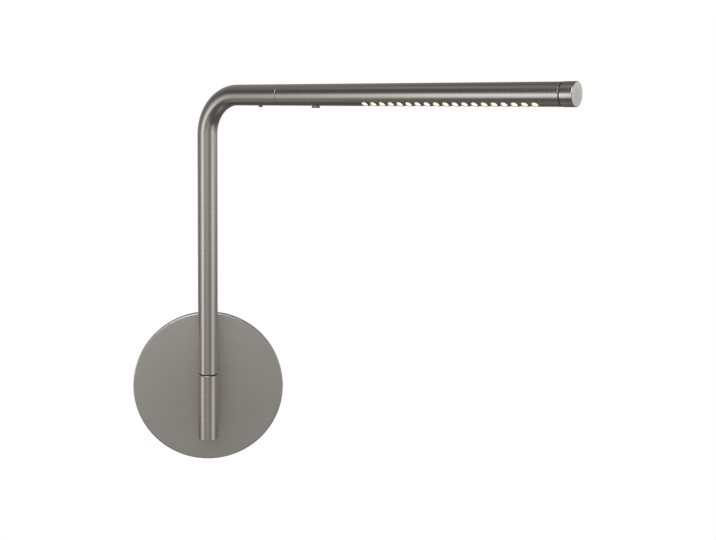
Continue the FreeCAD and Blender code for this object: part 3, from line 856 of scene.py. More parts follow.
class HalfSection:
    """Half section of a turned piece: walls between corners, with the corners rounded."""

    SMALL = 0.35                 # the largest rounding that is drawn coarsely
    COARSE_TURN = math.radians(30)
    FINE_TURN = math.radians(11)

    def __init__(self, corners: Sequence[tuple[float, ...]], closed: bool = False) -> None:
        """Keep the corners; the outside is on the left of their direction of travel."""
        self.corners = [Corner(*corner) for corner in corners]
        self.closed = closed

    def stretches(self) -> list[list[Station]]:
        """Walls and roundings in order, each with exact normals.

        Returns:
            Lists of stations; neighbours share their end places.
        """
        count = len(self.corners)
        walls = count if self.closed else count - 1
        travel = [self._direction(k) for k in range(walls)]
        trims = [self._trim(k, travel) for k in range(count)]
        found: list[list[Station]] = []
        path = 0.0
        for k in range(walls):
            start, end = self.corners[k], self.corners[(k + 1) % count]
            step_along, step_out = travel[k]
            length = math.hypot(end.along - start.along, end.radius - start.radius)
            low, high = trims[k], length - trims[(k + 1) % count]
            wall = [Station(start.along + step_along * at, start.radius + step_out * at, -step_out,
                            step_along, path + at) for at in (low, high)]
            if high - low > SHORTEST:
                found.append(wall)
            path += length
            turn = (k + 1) % count
            if trims[turn] > 0 and (self.closed or k + 1 < walls):
                found.append(self._rounded(wall[1], travel[k], travel[(k + 1) % walls],
                                           self.corners[turn]))
        return found

    def _direction(self, k: int) -> Span:
        """Find the direction of travel from a corner to the next.

        Args:
            k: the corner's number.

        Returns:
            The unit step along and out.
        """
        start, end = self.corners[k], self.corners[(k + 1) % len(self.corners)]
        length = math.hypot(end.along - start.along, end.radius - start.radius)
        return (end.along - start.along) / length, (end.radius - start.radius) / length

    def _trim(self, k: int, travel: Sequence[Span]) -> float:
        """Find the length that a corner's rounding takes from each wall.

        Args:
            k: the corner's number.
            travel: each wall's direction.

        Returns:
            The length.
        """
        corner = self.corners[k]
        if not corner.rounding or (not self.closed and k in (0, len(self.corners) - 1)):
            return 0.0
        before, after = travel[k - 1], travel[k % len(travel)]
        angle = math.acos(max(-1.0, min(1.0, before[0] * after[0] + before[1] * after[1])))
        return corner.rounding * math.tan(angle / 2)

    def _rounded(self, start: Station, before: Span, after: Span,
                 corner: Corner) -> list[Station]:
        """Stations round one corner.

        Args:
            start: the last station of the wall before it.
            before: direction of travel of that wall.
            after: direction of travel of the next wall.
            corner: the corner.

        Returns:
            The stations of the rounding.
        """
        turn = math.atan2(before[0] * after[1] - before[1] * after[0],
                          before[0] * after[0] + before[1] * after[1])
        hollow = 1.0 if turn > 0 else -1.0
        one = self.FINE_TURN if corner.rounding > self.SMALL else self.COARSE_TURN
        steps = max(2, math.ceil(abs(turn) / one))
        lean = math.atan2(start.normal_out, start.normal_along)
        centre_along = start.along + hollow * corner.rounding * start.normal_along
        centre_out = start.radius + hollow * corner.rounding * start.normal_out
        stations = []
        for k in range(steps + 1):
            angle = lean + turn * k / steps
            stations.append(Station(centre_along - hollow * corner.rounding * math.cos(angle),
                                    centre_out - hollow * corner.rounding * math.sin(angle),
                                    math.cos(angle), math.sin(angle),
                                    start.path + abs(turn) * corner.rounding * k / steps,
                                    0.0 if turn > 0 else 1.0))
        return stations


def turn_on(skin: Skin, stand: Stand, corners: Sequence[tuple[float, ...]],
            steps: int = STEPS_ROUND, closed: bool = False) -> None:
    """Turn a half section about a stand's axis.

    Args:
        skin: the drawing that takes the faces.
        stand: where the piece stands.
        corners: the half section's corners: place along, radius and any rounding.
        steps: faces round it.
        closed: whether its last corner joins its first.
    """
    angles = [2 * math.pi * k / steps for k in range(steps)]
    for stretch in HalfSection(corners, closed).stretches():
        rings = []
        for spot in stretch:
            radius = max(spot.radius, 0.0)
            ids = [skin.point(stand.place(spot.along, radius, angle), grain_at(angle, spot.path),
                              spot.wear) for angle in angles]
            rings.append(Ring(ids, [stand.axis * spot.normal_along
                                    + stand.outward(angle) * spot.normal_out for angle in angles]))
        skin.strips(rings)


def end_on(skin: Skin, stand: Stand, radii: Span, at: float, run: float, edges: Span) -> None:
    """Draw a tube's end with a short run of both walls.

    Args:
        skin: the drawing that takes the faces.
        stand: the tube's stand.
        radii: its outside and inside radius.
        at: the end's place along.
        run: the run of wall, below 0 where the tube lies before its end.
        edges: rounding of the outside and of the inside edge.
    """
    corners = [(at + run, radii[1]), (at, radii[1], edges[1]), (at, radii[0], edges[0]),
               (at + run, radii[0])]
    turn_on(skin, stand, corners if run > 0 else corners[::-1])


@dataclass(frozen=True)
class RoundHole:
    """A round hole drilled towards a tube's axis."""

    along: float
    angle: float
    radius: float

    def outline(self, tube_radius: float, widen: float) -> list[Span]:
        """Places along and angles round the tube where the drill meets it.

        Args:
            tube_radius: radius of the surface that is drilled.
            widen: how much wider than the drill the outline is.

        Returns:
            Pairs of place along and angle.
        """
        drill = self.radius + widen
        spots = []
        for k in range(HOLE_STEPS):
            turn = 2 * math.pi * k / HOLE_STEPS
            spots.append((self.along + drill * math.cos(turn),
                          self.angle + math.asin(drill * math.sin(turn) / tube_radius)))
        return spots

    def holds(self, along: float, angle: float, tube_radius: float, widen: float) -> bool:
        """Tell whether a place on a tube lies inside the drill.

        Args:
            along: the place along the tube.
            angle: its angle round the tube.
            tube_radius: radius of the surface that is drilled.
            widen: how much wider than the drill the test is.

        Returns:
            Whether it does.
        """
        across = tube_radius * math.sin(angle - self.angle)
        near_side = abs(angle - self.angle) <= math.pi / 2
        return near_side and math.hypot(along - self.along, across) < self.radius + widen


@dataclass(frozen=True)
class PunchedWall:
    """Round wall of a tube, on a grid, with round holes through it."""

    stand: Stand
    radius: float
    places: tuple[float, ...]    # grid lines along the tube
    holes: tuple[RoundHole, ...]
    widen: float                 # of each hole's outline at this wall
    facing: float                # 1 looks out, -1 looks at the axis
    path: float = 0.0            # of the grain at place 0
    steps: int = STEPS_ROUND
    margin: float = 0.35         # round each hole in which cells are fitted to it
    spare: float = 0.3           # round each hole that keeps no grid point

    def draw(self, skin: Skin) -> None:
        """Draw plain cells as they are and the cells round the holes as fitted triangles.

        Args:
            skin: the drawing that takes the faces.
        """
        marked = {cell for hole in self.holes for cell in self._cells_near(hole)}
        for i in range(len(self.places) - 1):
            for j in range(self.steps):
                if (i, j) not in marked:
                    spots = [(i, j), (i, j + 1), (i + 1, j + 1), (i + 1, j)]
                    self._face(skin, [(self.places[column], self._angle(row))
                                      for column, row in spots])
        if marked:
            self._draw_punched(skin, marked)

    def _angle(self, j: int) -> float:
        """Angle of grid line j."""
        return -math.pi + 2 * math.pi * j / self.steps

    def _face(self, skin: Skin, spots: Sequence[Span]) -> None:
        """Add one face of the wall.

        Args:
            skin: the drawing that takes it.
            spots: its corners' places along and angles.
        """
        ids = [skin.point(self.stand.place(along, self.radius, angle),
                          grain_at(angle, self.path + along)) for along, angle in spots]
        skin.face(ids, [self.stand.outward(angle) * self.facing for _, angle in spots])

    def _cells_near(self, hole: RoundHole) -> list[tuple[int, int]]:
        """Find the grid cells that a hole and the margin round it touch.

        Args:
            hole: the hole.

        Returns:
            The cells' numbers along and round.
        """
        drill = hole.radius + self.widen
        reach = drill + self.margin
        half = math.asin(min(1.0, drill / self.radius)) + self.margin / self.radius
        columns = [i for i in range(len(self.places) - 1)
                   if self.places[i + 1] > hole.along - reach
                   and self.places[i] < hole.along + reach]
        rows = [j for j in range(self.steps)
                if self._angle(j + 1) > hole.angle - half and self._angle(j) < hole.angle + half]
        return [(i, j) for i in columns for j in rows]

    def _draw_punched(self, skin: Skin, marked: set[tuple[int, int]]) -> None:
        """Fill the marked cells outside the holes with fitted triangles.

        Args:
            skin: the drawing that takes the faces.
            marked: the cells.
        """
        rim = []
        for i, j in sorted(marked):
            for first, second, across in (
                    ((i, j), (i, j + 1), (i - 1, j)), ((i + 1, j), (i + 1, j + 1), (i + 1, j)),
                    ((i, j), (i + 1, j), (i, j - 1)), ((i, j + 1), (i + 1, j + 1), (i, j + 1))):
                if across not in marked:
                    rim.append((first, second))
        spots: list[Span] = []
        number: dict[tuple[int, int], int] = {}
        on_rim = {node for pair in rim for node in pair}
        for i, j in sorted(marked):
            for node in ((i, j), (i, j + 1), (i + 1, j + 1), (i + 1, j)):
                along, angle = self.places[node[0]], self._angle(node[1])
                taken = node not in on_rim and self._holed(along, angle, self.spare)
                if node not in number and not taken:
                    number[node] = len(spots)
                    spots.append((along, angle))
        edges = [(number[first], number[second]) for first, second in rim]
        for hole in self.holes:
            start = len(spots)
            spots += hole.outline(self.radius, self.widen)
            edges += [(start + k, start + (k + 1) % HOLE_STEPS) for k in range(HOLE_STEPS)]
        flat = [Vector((along, angle * self.radius)) for along, angle in spots]
        _, _, faces, origins, _, _ = delaunay_2d_cdt(flat, edges, [], 0, SHORTEST)
        for face in faces:
            corners = [spots[origins[k][0]] for k in face]
            along, angle = (sum(parts) / len(corners) for parts in zip(*corners))
            if self._cell_of(along, angle) in marked and not self._holed(along, angle, 0.0):
                self._face(skin, corners)

    def _holed(self, along: float, angle: float, spare: float) -> bool:
        """Whether a place on the wall lies in one of the holes, widened by a spare."""
        return any(hole.holds(along, angle, self.radius, self.widen + spare)
                   for hole in self.holes)

    def _cell_of(self, along: float, angle: float) -> tuple[int, int]:
        """Grid cell that a place on the wall lies in."""
        column = max((i for i in range(len(self.places)) if self.places[i] <= along), default=-1)
        return column, math.floor((angle + math.pi) / (2 * math.pi) * self.steps)


def drill_on(skin: Skin, stand: Stand, hole: RoundHole, radii: Span, edge: float) -> None:
    """Draw the wall of a drilled hole with its outer edge broken.

    Args:
        skin: the drawing that takes the faces.
        stand: the tube's stand.
        hole: the hole.
        radii: the tube's outside and inside radius.
        edge: how far the edge is broken.
    """
    outer, inner = radii
    rings = []
    for radius, widen, lean in ((outer, edge, BROKEN_LEAN), (outer - edge, 0.0, BROKEN_LEAN),
                                (outer - edge, 0.0, 0.0), (inner, 0.0, 0.0)):
        ids, leans = [], []
        for k, (along, angle) in enumerate(hole.outline(radius, widen)):
            turn = 2 * math.pi * k / HOLE_STEPS
            ids.append(skin.point(stand.place(along, radius, angle), grain_at(angle, along),
                                  1.0 if widen else 0.0))
            across = stand.outward(hole.angle + math.pi / 2)
            inward = stand.axis * -math.cos(turn) + across * -math.sin(turn)
            inward *= 1.0 - lean * INWARD_LOSS
            leans.append((inward + stand.outward(angle) * lean).normalized())
        rings.append(Ring(ids, leans))
    skin.strips(rings[:2])
    skin.strips(rings[2:])


def punch_on(skin: Skin, stand: Stand, radii: Span, lines: tuple[tuple[float, ...], ...],
             holes: tuple[RoundHole, ...], edge: float, path: float = 0.0,
             steps: int = STEPS_ROUND) -> None:
    """Draw both walls of a tube, with round holes drilled through them.

    Args:
        skin: the drawing that takes the faces.
        stand: the tube's stand.
        radii: its outside and inside radius.
        lines: grid lines along its outer and along its inner wall.
        holes: the holes.
        edge: how far their outer edges are broken.
        path: of the grain at place 0.
        steps: faces round the tube.
    """
    for radius, places, widen, facing in zip(radii, lines, (edge, 0.0), (1.0, -1.0)):
        PunchedWall(stand, radius, places, holes, widen, facing, path, steps).draw(skin)
    for hole in holes:
        drill_on(skin, stand, hole, radii, edge)


def slab_on(skin: Skin, stand: Stand, ends: Span, halves: Span, edge: float) -> None:
    """Draw a flat block across a stand's axis with all its edges broken.

    Args:
        skin: the drawing that takes the faces.
        stand: the block's stand; its length runs along the stand's front.
        ends: where it starts and ends along the axis.
        halves: half its length and half its width.
        edge: how far its edges are broken.
    """
    low, high = ends
    outline = [(-1, -1, 0, 1), (-1, -1, 1, 0), (1, -1, -1, 0), (1, -1, 0, 1),
               (1, 1, 0, -1), (1, 1, -1, 0), (-1, 1, 1, 0), (-1, 1, 0, -1)]
    rings = []
    for along, inset in ((low, edge), (low + edge, 0.0), (high - edge, 0.0), (high, edge)):
        spots = [stand.foot + stand.axis * along
                 + stand.front * (x * (halves[0] - inset) + cut_x * edge)
                 + stand.side * (y * (halves[1] - inset) + cut_y * edge)
                 for x, y, cut_x, cut_y in outline]
        rings.append([skin.point(spot, spot, 1.0 if inset else 0.0) for spot in spots])
    outward = [(stand.front * (x + cut_x * CUT_LEAN)
                + stand.side * (y + cut_y * CUT_LEAN)).normalized()
               for x, y, cut_x, cut_y in outline]
    for first, second, lean in zip(rings, rings[1:], (-BROKEN_LEAN, 0.0, BROKEN_LEAN)):
        normals = [(way + stand.axis * lean).normalized() for way in outward]
        skin.strip(Ring(first, normals), Ring(second, normals))
    for ring, way in ((rings[0], -stand.axis), (rings[-1], stand.axis)):
        skin.face(ring, [way] * len(outline))


def even_lines(low: float, high: float, count: int) -> tuple[float, ...]:
    """Places along a tube that split a length evenly."""
    return tuple(low + (high - low) * k / count for k in range(count + 1))


def grid_lines(low: float, high: float, fine: Sequence[Span],
               fine_step: float = FINE_STEP) -> tuple[float, ...]:
    """Places along a tube: wide steps, and fine steps where there are holes.

    Args:
        low: the first place.
        high: the last place.
        fine: ranges that take the fine step.
        fine_step: the fine step.

    Returns:
        The places in order.
    """
    marks = [low, high] + [end for pair in fine for end in pair]
    marks = sorted({min(max(mark, low), high) for mark in marks})
    lines = [marks[0]]
    for start, end in zip(marks, marks[1:]):
        middle = (start + end) / 2
        size = fine_step if any(a <= middle <= b for a, b in fine) else WIDE_STEP
        lines += even_lines(start, end, max(1, round((end - start) / size)))[1:]
    return tuple(lines)


# ------------------------------------------------------------------ where things stand

PIVOT = Vector((0.0, -28.0, 0.0))
UP = Vector((0.0, 0.0, 1.0))
ARM_LINE = Vector((math.cos(REST_SWING), -math.sin(REST_SWING), 0.0))
ARM_HEIGHT = 241.0
BUTTON_REACH = 106.0
TUBE = (8.0, 6.8)            # outside and inside radius of the arm and the head
FIT = 0.03                   # clearance between a piece and the bore that it sits in
END_RUN = 0.5                # of tube wall that is drawn with the end of the arm or head
BORE_EDGE = 0.1              # rounding of a bore's edge
PLATE_STAND = Stand(Vector((0.0, 0.0, 0.0)), Vector((0.0, -1.0, 0.0)), UP)
SLEEVE_STAND = Stand(PIVOT, UP, Vector((0.0, 1.0, 0.0)))
UPRIGHT_STAND = Stand(PIVOT, UP, ARM_LINE)
HEAD_STAND = Stand(PIVOT + UP * ARM_HEIGHT, ARM_LINE, -UP)
BUTTON_STAND = Stand(HEAD_STAND.foot + ARM_LINE * BUTTON_REACH, -UP, ARM_LINE)


@dataclass(frozen=True)
class SubAssembly:
    """Group of the light's pieces: it draws its own and dresses the nodes that it carries over."""

    finishes: Finishes

    def keep(self, skin: Skin, name: str, finish: str, body: str, slot: str,
             *nodes: str) -> bpy.types.Object:
        """Make a drawing one of the light's pieces, with a finish by name; else as Skin.piece."""
        return skin.piece(name, self.finishes.material(finish), body, slot, *nodes)


@dataclass(frozen=True)
class WallPlate(SubAssembly):
    """Shallow round dish on the wall."""

    diameter: float = 125.0
    depth: float = 6.0
    face_wall: float = 1.6
    rim_wall: float = 1.8
    edge: float = 1.0            # rounding between face and rim
    inner_edge: float = 0.4      # and on the inside
    back_edges: Span = (0.15, 0.25)
    face_run: float = 1.4        # of the rim drawn with the face
    back_run: float = 0.5        # of the rim drawn with the back
    post_hole: float = 5.03
    screw_hole: float = 1.53
    hole_edge: float = 0.12
    grid: tuple[int, int] = (4, 3)                   # steps along the rim's outside and inside

    def build(self) -> None:
        """Draw the dish and dress the bracket's pieces behind it."""
        skin = Skin()
        outer, inner = self.diameter / 2, self.diameter / 2 - self.rim_wall
        floor, run = self.depth - self.face_wall, self.back_run
        inside, outside = self.back_edges
        turn_on(skin, PLATE_STAND, [
            (self.depth - self.face_run, outer), (self.depth, outer, self.edge),
            (self.depth, self.post_hole), (floor, self.post_hole),
            (floor, inner, self.inner_edge), (floor - run, inner)], PLATE_STEPS)
        turn_on(skin, PLATE_STAND, [
            (run, inner), (0.0, inner, inside), (0.0, outer, outside), (run, outer)], PLATE_STEPS)
        holes = tuple(RoundHole(floor / 2, side * math.pi / 2, self.screw_hole)
                      for side in (-1, 1))
        lines = tuple(even_lines(run, high, steps) for high, steps in zip(
            (self.depth - self.face_run, floor - run), self.grid))
        punch_on(skin, PLATE_STAND, (outer, inner), lines, holes, self.hole_edge, 0.0, PLATE_STEPS)
        self.keep(skin, "wall_plate", "plate_nickel", "wall_unit", "satin_nickel", "backplate")
        self.finishes.dress({
            "mounting_bracket": "zinc_steel", "ground_screw": "green_zinc",
            "backplate_grub_screws": "black_steel", "post_washer": "zinc_steel",
            "post_nut": "zinc_steel"})


@dataclass(frozen=True)
class PivotStem(SubAssembly):
    """Upright sleeve in front of the plate with its bushes, and the post that carries it."""

    sleeve_diameter: float = 17.0
    sleeve_wall: float = 1.7
    lower_wall: float = 1.3
    top: float = 15.5
    bottom: float = -38.0
    shoulder: float = -14.0
    edges: Span = (0.4, 0.15)
    end_run: float = 1.5
    wire_hole: float = 3.25
    pin_hole: float = 1.28
    pin_height: float = -9.0
    hole_edge: float = 0.1
    holed: Span = (-11.4, 4.2)
    bush_bottom: float = 7.5
    bush_bore: float = 5.05
    bush_edge: float = 0.2
    bush_lead: float = 0.3
    flange_top: float = 16.4
    flange_radius: float = 7.95
    flange_edge: float = 0.12
    plug_top: float = -34.0
    plug_edge: float = 0.2
    plug_lead: float = 0.5
    dimple: Span = (3.4, 3.8)     # radius of its floor and its rim
    dimple_depth: float = 0.25

    def build(self) -> None:
        """Draw the sleeve, the bush and the plug, and dress the pieces inside."""
        self._draw_sleeve()
        self._draw_bush()
        self._draw_plug()
        self.finishes.dress({
            "standoff_post": "post_nickel", "lower_bush": "black_nylon",
            "stop_pin": "bright_steel", "pivot_spindle": "bright_steel",
            "thrust_washer": "bright_steel", "disc_springs": "spring_steel",
            "spindle_nut": "zinc_steel"})

    def _draw_sleeve(self) -> None:
        """Draw the sleeve with its stepped bore, wire hole and pin hole."""
        skin = Skin()
        outer, run = self.sleeve_diameter / 2, self.end_run
        bore, low_bore = outer - self.sleeve_wall, outer - self.lower_wall
        end_on(skin, SLEEVE_STAND, (outer, low_bore), self.bottom, run, self.edges)
        end_on(skin, SLEEVE_STAND, (outer, bore), self.top, -run, self.edges)
        turn_on(skin, SLEEVE_STAND, [
            (self.shoulder + run, bore), (self.shoulder, bore), (self.shoulder, low_bore),
            (self.bottom + run, low_bore)])
        holes = (RoundHole(0.0, 0.0, self.wire_hole),
                 RoundHole(self.pin_height, 0.0, self.pin_hole))
        lines = (grid_lines(self.bottom + run, self.top - run, (self.holed,)),
                 grid_lines(self.shoulder + run, self.top - run, (self.holed,)))
        punch_on(skin, SLEEVE_STAND, (outer, bore), lines, holes, self.hole_edge)
        self.keep(skin, "sleeve", "tube_nickel", "wall_unit", "satin_nickel", "pivot_sleeve")

    def _draw_bush(self) -> None:
        """Draw the flanged bush whose edge is the dark line under the arm."""
        skin = Skin()
        barrel = self.sleeve_diameter / 2 - self.sleeve_wall - FIT
        turn_on(skin, SLEEVE_STAND, [
            (self.bush_bottom, self.bush_bore, self.bush_edge),
            (self.bush_bottom, barrel, self.bush_lead), (self.top, barrel),
            (self.top, self.flange_radius, self.flange_edge),
            (self.flange_top, self.flange_radius, self.flange_edge),
            (self.flange_top, self.bush_bore, self.bush_edge)], closed=True)
        self.keep(skin, "flanged_bush", "black_nylon", "wall_unit", "black_nylon", "upper_bush")

    def _draw_plug(self) -> None:
        """Draw the disc that closes the sleeve from below, with a shallow dimple."""
        skin = Skin()
        rim = self.sleeve_diameter / 2 - self.lower_wall - FIT
        low, (dimple_floor, dimple_rim) = self.bottom + self.dimple_depth, self.dimple
        turn_on(skin, SLEEVE_STAND, [
            (low, 0.0), (low, dimple_floor, self.plug_edge),
            (self.bottom, dimple_rim, self.plug_edge), (self.bottom, rim, self.plug_edge),
            (self.plug_top, rim, self.plug_lead), (self.plug_top, 0.0)])
        self.keep(skin, "sleeve_plug", "plug_nickel", "wall_unit", "satin_nickel",
                  "sleeve_end_plug")


@dataclass(frozen=True)
class BentArm(SubAssembly):
    """Tube that stands on the pivot, bends through a right angle and runs out level."""

    foot: float = 16.5
    bend_radius: float = 31.0
    reach: float = 73.4
    end_edge: float = 0.2
    hole_edge: float = 0.1
    hole_margin: float = 3.0     # of fine grid round the screw hole
    screw_reach: float = 54.0
    screw_radius: float = 1.5
    screw_stands_out: float = 1.2
    screw_tip: Span = (1.25, 1.0)     # its length and radius
    screw_edge: float = 0.2
    screw_steps: int = 48
    socket_flats: float = 1.5
    socket_depth: float = 1.2
    straight_steps: int = 8
    bend_steps: int = 48

    def build(self) -> None:
        """Draw the tube and its lock screw."""
        self._draw_tube()
        self._draw_screw()

    def _draw_tube(self) -> None:
        """Draw the tube with its bend and the hole for the lock screw."""
        skin = Skin()
        for radius, facing in zip(TUBE, (1.0, -1.0)):
            self._draw_run(skin, radius, facing)
        edges = (self.end_edge, BORE_EDGE)
        end_on(skin, UPRIGHT_STAND, TUBE, self.foot, END_RUN, edges)
        end_on(skin, HEAD_STAND, TUBE, self.reach, -END_RUN, edges)
        holed = (self.screw_reach - self.hole_margin, self.screw_reach + self.hole_margin)
        lines = grid_lines(self.bend_radius, self.reach - END_RUN, (holed,))
        hole = RoundHole(self.screw_reach, 0.0, self.screw_radius + FIT)
        bent = ARM_HEIGHT - self.bend_radius - self.foot + self.bend_radius * math.pi / 2
        punch_on(skin, HEAD_STAND, TUBE, (lines, lines), (hole,), self.hole_edge,
                 bent - self.bend_radius)
        self.keep(skin, "bent_tube", "tube_nickel", "arm", "satin_nickel", "arm_tube")

    def _draw_run(self, skin: Skin, radius: float, facing: float) -> None:
        """Draw the upright run and the bend at one radius.

        Args:
            skin: the drawing that takes the faces.
            radius: the tube's outside or inside radius.
            facing: 1 looks out, -1 looks in.
        """
        low, high = self.foot + END_RUN, ARM_HEIGHT - self.bend_radius
        frames = [(UPRIGHT_STAND.foot + UP * (low + (high - low) * k / self.straight_steps),
                   ARM_LINE) for k in range(self.straight_steps)]
        middle = PIVOT + ARM_LINE * self.bend_radius + UP * high
        for k in range(self.bend_steps + 1):
            angle = math.pi / 2 * (1 - k / self.bend_steps)
            front = ARM_LINE * math.sin(angle) - UP * math.cos(angle)
            frames.append((middle - front * self.bend_radius, front))
        side = UPRIGHT_STAND.side
        rings = []
        path = END_RUN
        for k, (centre, front) in enumerate(frames):
            path += (centre - frames[k - 1][0]).length if k else 0.0
            turns = [2 * math.pi * step / STEPS_ROUND for step in range(STEPS_ROUND)]
            outward = [front * math.cos(turn) + side * math.sin(turn) for turn in turns]
            ids = [skin.point(centre + out * radius, grain_at(turn, path))
                   for turn, out in zip(turns, outward)]
            rings.append(Ring(ids, [out * facing for out in outward]))
        skin.strips(rings)

    def _draw_screw(self) -> None:
        """Draw the lock screw under the arm with a socket in its end."""
        skin = Skin()
        outer, bore = TUBE
        stand = Stand(HEAD_STAND.foot + ARM_LINE * self.screw_reach, -UP, ARM_LINE)
        end = outer + self.screw_stands_out
        tip_length, tip_radius = self.screw_tip
        socket, socket_floor = self.socket_flats / math.sqrt(3), end - self.socket_depth
        turn_on(skin, stand, [
            (bore - tip_length, 0.0), (bore - tip_length, tip_radius, self.screw_edge),
            (bore, tip_radius), (bore, self.screw_radius),
            (end, self.screw_radius, self.screw_edge), (end, socket), (socket_floor, socket),
            (socket_floor, 0.0)], self.screw_steps)
        self.keep(skin, "lock_screw_turned", "smoked_steel", "arm", "black_steel", "lock_screw")


@dataclass(frozen=True)
class LampHead(SubAssembly):
    """Straight tube with light holes underneath, its end cap and what shines inside."""

    start: float = 73.6
    end: float = 298.0
    start_edge: float = 0.2
    end_edge: float = 0.15
    hole_radius: float = 2.25
    hole_pitch: float = 7.2
    hole_count: int = 19
    hole_edge: float = 0.12
    hole_margin: float = 4.8     # of fine grid round the light holes
    pitch_steps: int = 6         # of the fine grid
    row_angle: float = math.radians(31.0)
    first_hole: float = 151.6
    button_hole: float = 3.65
    button_margin: float = 5.4   # of fine grid round the button hole
    cap_diameter: float = 16.4
    cap_length: float = 8.6
    cap_edges: Span = (0.12, 0.5)     # at the groove and at the end
    groove_width: float = 0.9
    groove_depth: float = 0.8
    plug_length: float = 8.0
    plug_edge: float = 0.5
    # the ring below is painted shade: a black ring set in the cap's groove, where there is only
    # shadow
    ring_radius: float = 7.75
    ring_edge: float = 0.2
    ring_gaps: Span = (0.04, 0.01)    # beside it and under it
    lens_radius: float = 2.13
    lens_foot: float = 6.5       # from the head's axis
    lens_crown: float = 7.80
    lens_shoulder: float = 0.55

    def build(self) -> None:
        """Draw the tube and cap, and dress the pieces inside."""
        self._draw_tube()
        self._draw_cap()
        self._draw_painted_shade_ring()
        self._draw_lenses()
        self.finishes.dress({
            "head_spigot": "spigot_aluminium", "friction_ring": "black_rubber",
            "led_carrier": "carrier_aluminium", "led_board": "white_board",
            "led_chips": "led_phosphor", "diffuser": "opal_plastic",
            "driver_board": "green_board", "driver_components": "dark_parts"})

    def light_holes(self) -> tuple[RoundHole, ...]:
        """Place the light holes: two outer rows and a staggered row between them.

        Returns:
            The holes, row by row.
        """
        holes = []
        for side in (-1, 0, 1):
            first = self.first_hole + (0.0 if side else self.hole_pitch / 2)
            for k in range(self.hole_count if side else self.hole_count - 1):
                holes.append(RoundHole(first + k * self.hole_pitch, side * self.row_angle,
                                       self.hole_radius))
        return tuple(holes)

    def _draw_tube(self) -> None:
        """Draw the tube with its light holes and its button hole."""
        skin = Skin()
        holes = self.light_holes() + (RoundHole(BUTTON_REACH, 0.0, self.button_hole),)
        last = self.first_hole + (self.hole_count - 1) * self.hole_pitch
        holed = ((BUTTON_REACH - self.button_margin, BUTTON_REACH + self.button_margin),
                 (self.first_hole - self.hole_margin, last + self.hole_margin))
        lines = grid_lines(self.start + END_RUN, self.end - END_RUN, holed,
                           self.hole_pitch / self.pitch_steps)
        punch_on(skin, HEAD_STAND, TUBE, (lines, lines), holes, self.hole_edge)
        end_on(skin, HEAD_STAND, TUBE, self.start, END_RUN, (self.start_edge, BORE_EDGE))
        end_on(skin, HEAD_STAND, TUBE, self.end, -END_RUN, (self.end_edge, BORE_EDGE))
        self.keep(skin, "perforated_tube", "tube_nickel", "head", "satin_nickel", "head_tube")

    def _draw_cap(self) -> None:
        """Draw the end cap with its plug and shadow groove."""
        skin = Skin()
        outer, plug = self.cap_diameter / 2, TUBE[1] - FIT
        neck = outer - self.groove_depth
        lip_edge, face_edge = self.cap_edges
        foot, lip = self.end - self.plug_length, self.end + self.groove_width
        face = lip + self.cap_length
        turn_on(skin, HEAD_STAND, [
            (foot, 0.0), (foot, plug, self.plug_edge), (self.end, plug), (self.end, neck),
            (lip, neck), (lip, outer, lip_edge), (face, outer, face_edge), (face, 0.0)])
        self.keep(skin, "turned_cap", "tube_nickel", "head", "satin_nickel", "end_cap")

    def _draw_painted_shade_ring(self) -> None:
        """Draw a black ring in the cap's groove as painted shade, which makes the groove read as a
        dark line.
        """
        skin = Skin()
        beside, under = self.ring_gaps
        neck = self.cap_diameter / 2 - self.groove_depth + under
        low, high = self.end + beside, self.end + self.groove_width - beside
        turn_on(skin, HEAD_STAND, [
            (low, neck), (low, self.ring_radius, self.ring_edge),
            (high, self.ring_radius, self.ring_edge), (high, neck)], closed=True)
        self.keep(skin, "painted_shade_ring", "black_rubber", "head", "black_rubber")

    def _draw_lenses(self) -> None:
        """Draw the round opal lenses that fill the light holes nearly to the tube's surface."""
        skin = Skin()
        for hole in self.light_holes():
            stand = Stand(HEAD_STAND.place(hole.along, 0.0, 0.0), HEAD_STAND.outward(hole.angle),
                          ARM_LINE)
            turn_on(skin, stand, [
                (self.lens_foot, 0.0), (self.lens_foot, self.lens_radius),
                (self.lens_crown, self.lens_radius, self.lens_shoulder),
                (self.lens_crown, 0.0)], HOLE_STEPS)
        self.keep(skin, "hole_lenses", "opal_plastic", "head", "opal_plastic")


